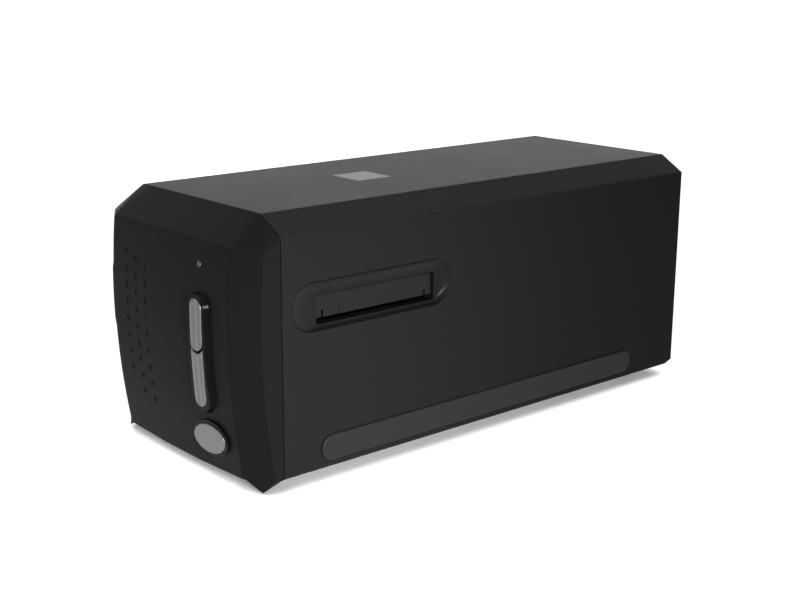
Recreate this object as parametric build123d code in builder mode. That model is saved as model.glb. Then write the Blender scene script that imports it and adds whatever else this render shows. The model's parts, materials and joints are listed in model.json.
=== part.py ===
from build123d import *
import os
from math import atan, pi, sqrt, tan

# Desktop film scanner: a low upright box that stands on four rubber feet. A film holder goes in
# through a slot in the right side, is rolled through under a lamp, and comes out on the left.
# Right-handed frame: X to the right seen from the front, Y to the rear, Z up.
# The origin is on the table, under the middle of the part. All sizes are in millimetres.

# ---------------------------------------------------------------- casing
BODY_WIDTH = 120.0
BODY_LENGTH = 278.0
BODY_HEIGHT = 119.0
WALL = 2.5
FOOT_HEIGHT = 6.5
CHAMFER_WIDTH = 13.6
CHAMFER_DROP = 8.0
PANEL_THICKNESS = 2.5
VENT_LENGTH = 34.0
VENT_WIDTH = 3.0
VENT_PITCH = 8.0
VENT_COUNT = 9
FIT_GAP = 0.1
MOVE_GAP = 0.3
SHAFT_GAP = 0.05

# ---------------------------------------------------------------- bezel
BEZEL_DEPTH = 17.5
FACE_RADIUS = 350.0
FACE_CREST_Z = 70.0
BROW_Z = 106.0
FACET_WIDTH = 13.2
FACET_SETBACK = 7.8
BROW_SIDE_REACH = 8.5
BROW_SIDE_DROP = 5.0
CORNER_SOFTENING = 4.0
TOE_REACH = 11.0
TOE_WIDTH = 12.0
TOE_TOP = 11.0
TOE_CLEARANCE = 3.5
DIMPLE_RADIUS = 1.5
DIMPLE_DEPTH = 0.7
DIMPLE_PITCH = 7.85
DIMPLE_COLUMN_STEP = 8.0
DIMPLE_COLUMN_DROP = 2.25
DIMPLE_FIRST_X = -34.6
DIMPLE_FIRST_Z = 92.2
DIMPLE_ROWS = (8, 9, 9)

# ---------------------------------------------------------------- buttons and light
BUTTON_TRAVEL = 1.0
BOSS_X = 25.9
BOSS_Z = 58.4
BOSS_WIDTH = 15.2
BOSS_LENGTH = 54.8
BOSS_HEIGHT = 2.2
BOSS_TAPER = 22.0
BOSS_RIM = 1.8
CAP_WIDTH = 8.4
CAP_PROUD = 0.8
CAP_EDGE = 0.5
CAP_SPLIT = 1.0
UPPER_CAP_TOP = 82.3
UPPER_CAP_LOW = 59.4
LOWER_CAP_LOW = 34.3
FLANGE_WIDTH = 1.2
FLANGE_THICKNESS = 1.2
STEM_RADIUS = 2.0
POWER_X = 27.0
POWER_Z = 19.4
POWER_WIDTH = 24.4
POWER_DEPTH = 13.6
POWER_TILT = 9.5
POWER_RING = 1.3
POWER_RING_HEIGHT = 1.1
POWER_PROUD = 1.9
LIGHT_X = 25.3
LIGHT_Z = 96.6
LIGHT_RADIUS = 1.5
LIGHT_PROUD = 0.5
BUTTON_BOARD_SETBACK = 1.0
BOARD_THICKNESS = 1.6
SWITCH_SIZE = 6.0
SWITCH_HEIGHT = 3.5
PLUNGER_RADIUS = 1.7
PLUNGER_HEIGHT = 0.8
POST_RADIUS = 2.5
POST_PLACES = ((13.0, 90.0), (42.0, 102.0), (8.0, 15.0), (45.0, 34.0))
BUTTON_BOARD_LEFT = 4.0
BUTTON_BOARD_RIGHT = 49.0
BUTTON_BOARD_NECK_LEFT = 9.0
BUTTON_BOARD_NECK_RIGHT = 46.0
BUTTON_BOARD_LOW = 11.0
BUTTON_BOARD_STEP = 38.0
BUTTON_BOARD_SLOPE = 5.0
BUTTON_BOARD_TOP = 106.0

# ---------------------------------------------------------------- film slot
SLOT_SETBACK = 53.4
DISH_SHIFT = 3.4
SLOT_Z = 79.3
SLOT_LENGTH = 89.3
SLOT_HEIGHT = 21.6
SLOT_RIM = 0.4
DISH_DEPTH = 3.0
LIP_THICKNESS = 1.2
FLANGE_LAP = 3.0
OPENING_LENGTH = 66.6
OPENING_HEIGHT = 13.2
OPENING_DROP = 2.4
FLAP_THICKNESS = 2.6
FLAP_TOP_GAP = 0.35
FLAP_END_GAP = 0.4
FLAP_FLOOR_GAP = 2.2
FLAP_NOTCH = 3.0
NOTCH_WIDTH = 1.2
NOTCH_REACH = 29.0
PIN_RADIUS = 0.7
EAR_THICKNESS = 3.0
EAR_STANDOFF = 4.5
EAR_DEPTH = 4.2
EAR_HEIGHT = 5.0
RIB_HEIGHT = 1.4
RIB_LENGTH = 40.6
RIB_THICKNESS = 1.6
SPRING_WIRE = 0.4
SPRING_TURNS = 6

# ---------------------------------------------------------------- trim
STRIP_FRONT_GAP = 19.8
STRIP_REAR_GAP = 34.3
STRIP_Z = 15.35
STRIP_HEIGHT = 11.6
STRIP_THICKNESS = 1.0
STRIP_EDGE = 0.7
LABEL_SIZE = 20.0
LABEL_SETBACK = 91.6
LABEL_THICKNESS = 0.4
FOOT_RADIUS = 7.0
FOOT_SEAT = 1.0
FOOT_INSET_X = 28.0
FOOT_INSET_FRONT = 20.0
FOOT_INSET_REAR = 18.0

# ---------------------------------------------------------------- film path
PASSAGE_HEIGHT = 7.4
TRACK_WIDTH = 72.0
TRACK_RAIL = 4.5
TRACK_FLOOR = 2.5
TRACK_END_GAP = 1.0
COVER_THICKNESS = 2.0
WINDOW_WIDTH = 16.0
WINDOW_LENGTH = 32.0
GATE_WIDTH = 10.0
GATE_LENGTH = 26.0
GATE_THICKNESS = 0.8
GATE_MARGIN = 4.0
FEED_INSET = 16.0
SHAFT_RADIUS = 1.5
ROLLER_RADIUS = 6.0
ROLLER_WIDTH = 8.0
ROLLER_OFFSET = 22.0
ROLLER_PROUD = 0.3
ROLLER_CLEARANCE = 1.0
PINCH_RADIUS = 5.0

# ---------------------------------------------------------------- gear train
MODULE = 0.8
GEAR_FACE = 4.0
GEAR_GAP = 0.6
FEED_TEETH = 32
REDUCTION_SMALL_TEETH = 12
REDUCTION_LARGE_TEETH = 36
MOTOR_TEETH = 10
REDUCTION_ANGLE = -80.0
MOTOR_ANGLE = -50.0
GEAR_PLATE_THICKNESS = 2.0
GEAR_PLATE_MARGIN = 8.0
MOTOR_RADIUS = 12.0
MOTOR_LENGTH = 16.0
MOTOR_SHAFT_RADIUS = 1.0
MOTOR_BORE_DEPTH = 8.0
MOTOR_EDGE = 1.0
TOOTH_ADDENDUM = 0.8
TOOTH_DEDENDUM = 1.1
TOOTH_ROOT_SHARE = 0.54
TOOTH_TIP_SHARE = 0.24

# ---------------------------------------------------------------- chassis
CHASSIS_RISE = 10.0
CHASSIS_THICKNESS = 2.5
CHASSIS_HALF_WIDTH = 50.0
CHASSIS_REAR_GAP = 20.0
PORTAL_HALF_WIDTH = 48.0
BEAM_WIDTH = 26.0
BEAM_HEIGHT = 32.0
PILLAR_X = 46.0
PILLAR_RADIUS = 3.5
PILLAR_INSET = 10.0
SIDE_BLOCK = 9.0
BASE_BLOCK_FRONT_GAP = 75.0
BASE_BLOCK_REAR_GAP = 57.0
PANEL_BLOCK_RISE = 20.0
PANEL_BLOCK_DROP = 17.0
SCREW_RADIUS = 1.25
SCREW_HEAD_RADIUS = 2.6
SCREW_HEAD_HEIGHT = 1.2
SCREW_LENGTH = 9.0

# ---------------------------------------------------------------- lamp and mirror
LAMP_HALF_WIDTH = 14.0
LAMP_HALF_LENGTH = 26.0
LAMP_HEIGHT = 20.0
LAMP_WALL = 2.0
LAMP_AXIS_RISE = 11.5
LAMP_RADIUS = 2.5
LAMP_CAP_RADIUS = 4.0
LAMP_CAP_LENGTH = 4.0
DIFFUSER_THICKNESS = 2.0
OPTIC_RISE = 23.5
MIRROR_WIDTH = 28.0
MIRROR_LENGTH = 38.0
MIRROR_THICKNESS = 2.0
MIRROR_BACK = 16.0

# ---------------------------------------------------------------- focusing carriage
ROD_X = 20.0
ROD_RISE = 5.5
ROD_RADIUS = 2.0
ROD_FRONT_GAP = 26.0
ROD_REAR_GAP = 4.0
ROD_BRACKET_THICKNESS = 4.0
ROD_BRACKET_HEIGHT = 10.0
CARRIAGE_LENGTH = 60.0
CARRIAGE_PLATE = 3.0
CARRIAGE_RISE = 2.5
BEARING_WIDTH = 9.0
BEARING_LENGTH = 12.0
FOCUS_TRAVEL = 3.0
LENS_RADIUS = 11.0
LENS_NOSE_RADIUS = 9.0
LENS_LENGTH = 30.0
LENS_NOSE_LENGTH = 8.0
LENS_GLASS_RADIUS = 7.5
LENS_GLASS_THICKNESS = 2.0
RING_WALL = 3.5
RING_THICKNESS = 12.0
SENSOR_WALL = 4.0
SENSOR_HALF_WIDTH = 17.0
SENSOR_TOP_RISE = 20.0
SENSOR_WINDOW_WIDTH = 14.0
SENSOR_WINDOW_HEIGHT = 30.0
SENSOR_CHIP_WIDTH = 8.0
SENSOR_CHIP_HEIGHT = 28.0
SENSOR_CHIP_THICKNESS = 2.4
RACK_WALL = 3.0
RACK_HEIGHT = 4.0
RACK_TEETH = 12
RACK_BODY = 2.2
PINION_TEETH = 16
PINION_RISE = 15.5
FOCUS_MOTOR_RADIUS = 8.0
FOCUS_MOTOR_HEIGHT = 13.0

# ---------------------------------------------------------------- electronics
MAIN_BOARD_HALF_WIDTH = 40.0
MAIN_BOARD_SETBACK = 30.0
STANDOFF_HEIGHT = 3.5
STANDOFF_RADIUS = 3.0
STANDOFF_X = 35.0
STANDOFF_FRONT_GAP = 10.0
STANDOFF_REAR_GAP = 17.0
USB_X = 14.0
USB_WIDTH = 12.0
USB_HEIGHT = 11.0
USB_LENGTH = 16.0
USB_MOUTH_WIDTH = 8.4
USB_MOUTH_HEIGHT = 7.8
USB_MOUTH_DEPTH = 9.0
USB_TONGUE_WIDTH = 5.6
USB_TONGUE_HEIGHT = 3.2
USB_TONGUE_RECESS = 1.5
JACK_X = -22.0
JACK_WIDTH = 9.0
JACK_HEIGHT = 11.0
JACK_LENGTH = 14.0
JACK_BORE_RADIUS = 2.8
JACK_BORE_DEPTH = 9.5
JACK_PIN_RADIUS = 1.0
SOCKET_RECESS = 0.5

# Chips and plugs near the front: x, distance behind the board's front edge, width, depth, height.
CHIPS = (
    (-18.0, 40.0, 20.0, 20.0, 2.4),
    (14.0, 34.0, 14.0, 8.0, 1.8),
    (14.0, 54.0, 14.0, 8.0, 1.8),
    (30.0, 90.0, 6.0, 18.0, 3.5),
)
# The plug near the rear: x, distance ahead of the board's rear edge, width, depth, height.
REAR_PLUG = (-30.0, 42.0, 6.0, 22.0, 3.5)
CAPACITORS = ((-32.0, 14.0), (0.0, 26.0), (-6.0, 14.0))
CAPACITOR_RADIUS = 3.2
CAPACITOR_HEIGHT = 4.0

# ---------------------------------------------------------------- places worked out from the sizes
reach = BOSS_HEIGHT + CAP_PROUD
rear_y = (BODY_LENGTH + reach) / 2
front_y = rear_y - BODY_LENGTH
seam_y = front_y + BEZEL_DEPTH
panel_y = rear_y - PANEL_THICKNESS
half_width = BODY_WIDTH / 2
inner_x = half_width - WALL
corner_x = half_width - FACET_WIDTH
side_top_z = BODY_HEIGHT - CHAMFER_DROP
top_half_width = half_width - CHAMFER_WIDTH
base_top_z = FOOT_HEIGHT + WALL

slot_y = seam_y + SLOT_SETBACK
dish_y = slot_y - DISH_SHIFT
opening_z = SLOT_Z - OPENING_DROP
opening_low_z = opening_z - OPENING_HEIGHT / 2
opening_top_z = opening_z + OPENING_HEIGHT / 2
lip_x = half_width - DISH_DEPTH
lip_back_x = lip_x - LIP_THICKNESS
pin_x = lip_back_x - MOVE_GAP - FLAP_THICKNESS / 2
pin_z = opening_top_z - FLAP_TOP_GAP - FLAP_THICKNESS / 2
flap_low_z = opening_low_z + FLAP_FLOOR_GAP
flap_length = OPENING_LENGTH - 2 * FLAP_END_GAP
ear_y = OPENING_LENGTH / 2 + EAR_STANDOFF

track_half_length = pin_x - (pin_z - flap_low_z) - TRACK_END_GAP
feed_x = track_half_length - FEED_INSET
floor_z = opening_low_z + RIB_HEIGHT
floor_low_z = floor_z - TRACK_FLOOR
cover_z = floor_z + PASSAGE_HEIGHT
cover_top_z = cover_z + COVER_THICKNESS
feed_z = floor_z + ROLLER_PROUD - ROLLER_RADIUS
pinch_z = cover_z - ROLLER_PROUD + PINCH_RADIUS

chassis_z = base_top_z + CHASSIS_RISE
chassis_top_z = chassis_z + CHASSIS_THICKNESS
chassis_front_y = slot_y - TRACK_WIDTH / 2
chassis_rear_y = panel_y - CHASSIS_REAR_GAP
optic_z = chassis_top_z + OPTIC_RISE
rod_z = chassis_top_z + ROD_RISE
wall_rear_y = slot_y + TRACK_WIDTH / 2
near_layer_y = wall_rear_y + GEAR_GAP + GEAR_FACE
far_layer_y = near_layer_y + GEAR_GAP + GEAR_FACE
gear_plate_y = far_layer_y + GEAR_GAP + GEAR_PLATE_THICKNESS

board_front_y = seam_y + MAIN_BOARD_SETBACK
board_rear_y = panel_y - FIT_GAP
button_board_y = seam_y - BUTTON_BOARD_SETBACK
switch_front_y = button_board_y - BOARD_THICKNESS - SWITCH_HEIGHT
stem_end_y = switch_front_y - PLUNGER_HEIGHT - BUTTON_TRAVEL - MOVE_GAP


def at_y(y):
    """Upright plane across the part: its own x is X, its own y is Z, and it extrudes forwards."""
    return Plane(origin=(0, y, 0), x_dir=(1, 0, 0), z_dir=(0, -1, 0))


def at_x(x):
    """Upright plane along the part: its own x is Y, its own y is Z, and it extrudes to the right."""
    return Plane.YZ.offset(x)


def bow_y(z, ahead=0.0):
    """Y of the bowed front at height z, moved towards the user by ahead."""
    return front_y - ahead + FACE_RADIUS - sqrt(FACE_RADIUS**2 - (z - FACE_CREST_Z) ** 2)


def bow_arc(z_low, z_high, ahead=0.0):
    """Side-on arc of the bowed front between two heights."""
    z_mid = (z_low + z_high) / 2
    return ThreePointArc(
        (bow_y(z_low, ahead), z_low), (bow_y(z_mid, ahead), z_mid), (bow_y(z_high, ahead), z_high)
    )


def bow_layer(z_low, z_high, ahead, behind):
    """Side-on outline of a layer that follows the bow, from ahead of it to behind it."""
    outer = bow_arc(z_low, z_high, ahead)
    inner = bow_arc(z_low, z_high, -behind)
    Line(outer @ 0, inner @ 0)
    Line(outer @ 1, inner @ 1)


def casing_outline():
    """Closed outline of the casing seen from the front: upright sides and two long chamfers."""
    Polyline(
        (-half_width, FOOT_HEIGHT),
        (half_width, FOOT_HEIGHT),
        (half_width, side_top_z),
        (top_half_width, BODY_HEIGHT),
        (-top_half_width, BODY_HEIGHT),
        (-half_width, side_top_z),
        close=True,
    )


def gear_face(teeth, tooth_angle):
    """Spur gear outline with straight-flanked teeth; one tooth points along tooth_angle."""
    pitch_radius = teeth * MODULE / 2
    root = pitch_radius - TOOTH_DEDENDUM * MODULE
    tip = pitch_radius + TOOTH_ADDENDUM * MODULE
    root_half = TOOTH_ROOT_SHARE * pi * MODULE / 2
    tip_half = TOOTH_TIP_SHARE * pi * MODULE / 2
    sunk = root - MODULE / 2
    Circle(root)
    with PolarLocations(0, teeth, start_angle=tooth_angle):
        Polygon((sunk, -root_half), (tip, -tip_half), (tip, tip_half), (sunk, root_half), align=None)


def keep(piece, name):
    """Label a finished piece and write it to its own STEP file."""
    piece.part.label = name
    export_step(piece.part, f"parts/{name}.step")


os.makedirs("parts", exist_ok=True)

# ================================================================ front bezel
boss_hole_length = BOSS_LENGTH - 2 * BOSS_RIM
boss_hole_width = BOSS_WIDTH - 2 * BOSS_RIM
power_hole_width = POWER_WIDTH + 2 * MOVE_GAP
power_hole_depth = POWER_DEPTH + 2 * MOVE_GAP
ring_width = power_hole_width + 2 * POWER_RING
ring_depth = power_hole_depth + 2 * POWER_RING

with BuildPart() as toe:
    # A low wedge in front of each lower corner, sloping down to a sharp point by the table.
    toe_root = Vector(corner_x, bow_y(FOOT_HEIGHT), FOOT_HEIGHT)
    toe_point = Vector(half_width, seam_y - TOE_REACH, TOE_CLEARANCE)
    toe_side = Vector(half_width, bow_y(TOE_TOP) + FACET_SETBACK, TOE_TOP)
    with BuildSketch(Plane.XY.offset(TOE_CLEARANCE)):
        with BuildLine():
            Polyline(
                (toe_root.X, toe_root.Y),
                (toe_point.X, toe_point.Y),
                (half_width, seam_y - WALL),
                (toe_root.X, seam_y - WALL),
                close=True,
            )
        make_face()
    extrude(amount=TOE_TOP - TOE_CLEARANCE)
    toe_slope = (toe_side - toe_root).cross(toe_point - toe_root)
    if toe_slope.Z < 0:
        toe_slope = toe_slope * -1
    split(bisect_by=Plane(origin=toe_root, z_dir=toe_slope), keep=Keep.BOTTOM)

facet_slope = FACET_SETBACK / FACET_WIDTH
facet_bend = tan(atan(facet_slope) / 2)
brow_slope = (BODY_HEIGHT - BROW_Z) / (seam_y - bow_y(BROW_Z))


def bezel_block(inset):
    """Solid form of the bezel with every face moved inwards by inset; its back stays open to the seam."""
    lift = inset * (brow_slope - sqrt(1 + brow_slope**2))
    fold_x = corner_x - inset * facet_bend
    back_y = seam_y + inset
    with BuildPart() as block:
        # The bowed middle, then each corner facet as the same profile carried out and back.
        for side in (0, 1, -1):
            with BuildSketch(at_x(side * fold_x)):
                with BuildLine():
                    bow = bow_arc(FOOT_HEIGHT + inset, BROW_Z + lift, -inset)
                    Polyline(bow @ 1, (back_y, BODY_HEIGHT + lift), (back_y, FOOT_HEIGHT + inset), bow @ 0)
                make_face()
            if side == 0:
                extrude(amount=fold_x, both=True)
            else:
                run_x = half_width - inset - fold_x
                facet_run = Vector(side * run_x, run_x * facet_slope, 0)
                extrude(amount=facet_run.length, dir=facet_run.normalized())
        split(bisect_by=Plane(origin=(0, back_y, 0), z_dir=(0, 1, 0)), keep=Keep.BOTTOM)
        # The two brow facets run from the casing's chamfers down to the corner facets.
        for side in (1, -1):
            seam_corner = Vector(side * half_width, seam_y, side_top_z)
            seam_top = Vector(side * top_half_width, seam_y, BODY_HEIGHT)
            brow_corner = seam_corner - Vector(0, BROW_SIDE_REACH, BROW_SIDE_DROP)
            brow_normal = (brow_corner - seam_corner).cross(seam_top - seam_corner).normalized()
            if brow_normal.Z < 0:
                brow_normal = brow_normal * -1
            brow_plane = Plane(origin=seam_corner - brow_normal * inset, z_dir=brow_normal)
            split(bisect_by=brow_plane, keep=Keep.BOTTOM)
    return block.part


with BuildPart() as front_bezel:
    add(bezel_block(0.0))
    corners = [e for e in edges() if abs(abs(e.center().X) - corner_x) < 1 and e.length > BODY_HEIGHT / 2]
    fillet(corners, radius=CORNER_SOFTENING)
    brow = [e for e in edges() if abs(e.center().Z - BROW_Z) < 1 and e.length > corner_x]
    fillet(brow, radius=CORNER_SOFTENING)
    add(bezel_block(WALL), mode=Mode.SUBTRACT)
    add(toe.part)
    add(toe.part.mirror(Plane.YZ))
    # Posts for the button board reach forwards into the front wall.
    for post_x, post_z in POST_PLACES:
        with BuildSketch(at_y(button_board_y - BOARD_THICKNESS)):
            with Locations((post_x, post_z)):
                Circle(POST_RADIUS)
        extrude(amount=button_board_y - BOARD_THICKNESS - bow_y(post_z, -WALL / 2))
    # Openings for the button boss, the power button and the status light.
    with BuildSketch(at_y(seam_y)):
        with Locations((BOSS_X, BOSS_Z)):
            SlotOverall(boss_hole_length, boss_hole_width, rotation=90)
        with Locations((POWER_X, POWER_Z)):
            Ellipse(power_hole_width / 2, power_hole_depth / 2, rotation=POWER_TILT)
        with Locations((LIGHT_X, LIGHT_Z)):
            Circle(LIGHT_RADIUS + FIT_GAP)
    extrude(amount=2 * BEZEL_DEPTH, mode=Mode.SUBTRACT)
    for column, rows in enumerate(DIMPLE_ROWS):
        for row in range(rows):
            dimple_x = DIMPLE_FIRST_X + column * DIMPLE_COLUMN_STEP
            dimple_z = DIMPLE_FIRST_Z - column * DIMPLE_COLUMN_DROP - row * DIMPLE_PITCH
            with BuildSketch(at_y(bow_y(dimple_z) + DIMPLE_DEPTH)):
                with Locations((dimple_x, dimple_z)):
                    Circle(DIMPLE_RADIUS)
            extrude(amount=2 * DIMPLE_DEPTH, mode=Mode.SUBTRACT)
keep(front_bezel, "front_bezel")

# ================================================================ button boss
cap_hole = CAP_WIDTH + 2 * MOVE_GAP
boss_low_z = BOSS_Z - BOSS_LENGTH / 2
boss_top_z = BOSS_Z + BOSS_LENGTH / 2
caps_length = UPPER_CAP_TOP - LOWER_CAP_LOW
caps_z = (UPPER_CAP_TOP + LOWER_CAP_LOW) / 2

with BuildPart() as boss_plug:
    with BuildSketch(at_x(BOSS_X)):
        with BuildLine():
            bow_layer(boss_low_z, boss_top_z, 0, WALL)
        make_face()
    extrude(amount=BOSS_WIDTH, both=True)
    with BuildSketch(at_y(seam_y)):
        with Locations((BOSS_X, BOSS_Z)):
            SlotOverall(boss_hole_length - 2 * FIT_GAP, boss_hole_width - 2 * FIT_GAP, rotation=90)
    extrude(amount=2 * BEZEL_DEPTH, mode=Mode.INTERSECT)

with BuildPart() as button_boss:
    with BuildSketch(at_x(BOSS_X)):
        with BuildLine():
            bow_layer(boss_low_z, boss_top_z, BOSS_HEIGHT, 0)
        make_face()
    extrude(amount=BOSS_WIDTH, both=True)
    with BuildSketch(at_y(bow_y(boss_low_z))):
        with Locations((BOSS_X, BOSS_Z)):
            SlotOverall(BOSS_LENGTH, BOSS_WIDTH, rotation=90)
    extrude(amount=2 * BOSS_HEIGHT, taper=BOSS_TAPER, mode=Mode.INTERSECT)
    add(boss_plug.part)
    with BuildSketch(at_y(seam_y)):
        with Locations((BOSS_X, caps_z)):
            SlotOverall(caps_length + 2 * MOVE_GAP, cap_hole, rotation=90)
    extrude(amount=2 * BEZEL_DEPTH, mode=Mode.SUBTRACT)
keep(button_boss, "button_boss")

# ================================================================ scan buttons
upper_centre_z = UPPER_CAP_LOW + CAP_WIDTH / 2
cap_front = BOSS_HEIGHT + CAP_PROUD
flange_front = WALL + MOVE_GAP
flange_back = flange_front + FLANGE_THICKNESS
hug_radius = CAP_WIDTH / 2 + CAP_SPLIT


def button_stem(x, z):
    """Round stem from the flange behind the bezel to just ahead of its switch."""
    with BuildPart() as stem:
        with BuildSketch(at_y(stem_end_y)):
            with Locations((x, z)):
                Circle(STEM_RADIUS)
        extrude(amount=stem_end_y - bow_y(z, -flange_front))
    return stem.part


def slot_button(z_low, z_high, hugs):
    """Long cap with round ends; a cap that hugs the one above has a hollow upper end."""
    length = z_high - z_low
    with BuildPart() as cap:
        with BuildSketch(at_x(BOSS_X)):
            with BuildLine():
                bow_layer(z_low - CAP_WIDTH, z_high + CAP_WIDTH, cap_front, flange_back)
            make_face()
        extrude(amount=CAP_WIDTH, both=True)
        with BuildSketch(at_y(seam_y)):
            with Locations((BOSS_X, (z_low + z_high) / 2)):
                SlotOverall(length, CAP_WIDTH, rotation=90)
            if hugs:
                with Locations((BOSS_X, z_high - CAP_WIDTH / 2)):
                    Rectangle(CAP_WIDTH, CAP_WIDTH)
                with Locations((BOSS_X, upper_centre_z)):
                    Circle(hug_radius, mode=Mode.SUBTRACT)
        extrude(amount=2 * BEZEL_DEPTH, mode=Mode.INTERSECT)
        crown = faces().sort_by(Axis.Y)[0]
        fillet(crown.edges(), radius=CAP_EDGE)
    return cap.part


def slot_flange(z_low, z_high):
    """Wider flange behind the bezel that stops a cap from falling out of the front."""
    with BuildPart() as flange:
        with BuildSketch(at_x(BOSS_X)):
            with BuildLine():
                bow_layer(z_low - CAP_WIDTH, z_high + CAP_WIDTH, -flange_front, flange_back)
            make_face()
        extrude(amount=CAP_WIDTH, both=True)
        with BuildSketch(at_y(seam_y)):
            with Locations((BOSS_X, (z_low + z_high) / 2)):
                Rectangle(CAP_WIDTH + 2 * FLANGE_WIDTH, z_high - z_low)
        extrude(amount=2 * BEZEL_DEPTH, mode=Mode.INTERSECT)
    return flange.part


lower_cap_top = upper_centre_z
upper_stem_z = (UPPER_CAP_TOP + upper_centre_z) / 2
lower_stem_z = LOWER_CAP_LOW + (UPPER_CAP_LOW - LOWER_CAP_LOW) / 2

with BuildPart() as upper_button:
    add(slot_button(UPPER_CAP_LOW, UPPER_CAP_TOP, False))
    add(slot_flange(upper_centre_z, UPPER_CAP_TOP - FLANGE_WIDTH))
    add(button_stem(BOSS_X, upper_stem_z))
keep(upper_button, "upper_button")

with BuildPart() as lower_button:
    add(slot_button(LOWER_CAP_LOW, lower_cap_top, True))
    add(slot_flange(LOWER_CAP_LOW + FLANGE_WIDTH, UPPER_CAP_LOW - 2 * CAP_SPLIT))
    add(button_stem(BOSS_X, lower_stem_z))
keep(lower_button, "lower_button")

# ================================================================ power button
power_low_z = POWER_Z - POWER_DEPTH
power_top_z = POWER_Z + POWER_DEPTH

with BuildPart() as power_ring:
    with BuildSketch(at_x(POWER_X)):
        with BuildLine():
            bow_layer(power_low_z, power_top_z, POWER_RING_HEIGHT, 0)
        make_face()
    extrude(amount=POWER_WIDTH, both=True)
    with BuildSketch(at_y(bow_y(FOOT_HEIGHT))):
        with Locations((POWER_X, POWER_Z)):
            Ellipse(ring_width / 2, ring_depth / 2, rotation=POWER_TILT)
            Ellipse(power_hole_width / 2, power_hole_depth / 2, rotation=POWER_TILT, mode=Mode.SUBTRACT)
    extrude(amount=BEZEL_DEPTH, mode=Mode.INTERSECT)
keep(power_ring, "power_ring")

with BuildPart() as power_button:
    with BuildSketch(at_x(POWER_X)):
        with BuildLine():
            bow_layer(power_low_z, power_top_z, POWER_PROUD, flange_back)
        make_face()
    extrude(amount=POWER_WIDTH, both=True)
    with BuildSketch(at_y(seam_y)):
        with Locations((POWER_X, POWER_Z)):
            Ellipse(POWER_WIDTH / 2, POWER_DEPTH / 2, rotation=POWER_TILT)
    extrude(amount=2 * BEZEL_DEPTH, mode=Mode.INTERSECT)
    fillet(faces().sort_by(Axis.Y)[0].edges(), radius=CAP_EDGE)
    add(button_stem(POWER_X, POWER_Z))
keep(power_button, "power_button")

# ================================================================ status light, button board, switches
with BuildPart() as status_light:
    with BuildSketch(at_y(button_board_y - BOARD_THICKNESS)):
        with Locations((LIGHT_X, LIGHT_Z)):
            Circle(LIGHT_RADIUS)
    extrude(amount=button_board_y - BOARD_THICKNESS - bow_y(LIGHT_Z, LIGHT_PROUD))
    fillet(faces().sort_by(Axis.Y)[0].edges(), radius=LIGHT_PROUD)
keep(status_light, "status_light")

with BuildPart() as button_board:
    with BuildSketch(at_y(button_board_y)):
        with BuildLine():
            Polyline(
                (BUTTON_BOARD_LEFT, BUTTON_BOARD_LOW),
                (BUTTON_BOARD_RIGHT, BUTTON_BOARD_LOW),
                (BUTTON_BOARD_RIGHT, BUTTON_BOARD_STEP),
                (BUTTON_BOARD_NECK_RIGHT, BUTTON_BOARD_STEP + BUTTON_BOARD_SLOPE),
                (BUTTON_BOARD_NECK_RIGHT, BUTTON_BOARD_TOP),
                (BUTTON_BOARD_NECK_LEFT, BUTTON_BOARD_TOP),
                (BUTTON_BOARD_NECK_LEFT, BUTTON_BOARD_STEP + BUTTON_BOARD_SLOPE),
                (BUTTON_BOARD_LEFT, BUTTON_BOARD_STEP),
                close=True,
            )
        make_face()
    extrude(amount=BOARD_THICKNESS)
keep(button_board, "button_board")

with BuildPart() as tact_switches:
    for switch_x, switch_z in ((BOSS_X, upper_stem_z), (BOSS_X, lower_stem_z), (POWER_X, POWER_Z)):
        with BuildSketch(at_y(button_board_y - BOARD_THICKNESS)):
            with Locations((switch_x, switch_z)):
                Rectangle(SWITCH_SIZE, SWITCH_SIZE)
        extrude(amount=SWITCH_HEIGHT)
        with BuildSketch(at_y(switch_front_y)):
            with Locations((switch_x, switch_z)):
                Circle(PLUNGER_RADIUS)
        extrude(amount=PLUNGER_HEIGHT)
keep(tact_switches, "tact_switches")

# ================================================================ main housing
housing_length = panel_y - seam_y
base_block_ys = (seam_y + BASE_BLOCK_FRONT_GAP, panel_y - BASE_BLOCK_REAR_GAP)
panel_block_zs = (base_top_z + PANEL_BLOCK_RISE, BODY_HEIGHT - PANEL_BLOCK_DROP)

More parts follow.
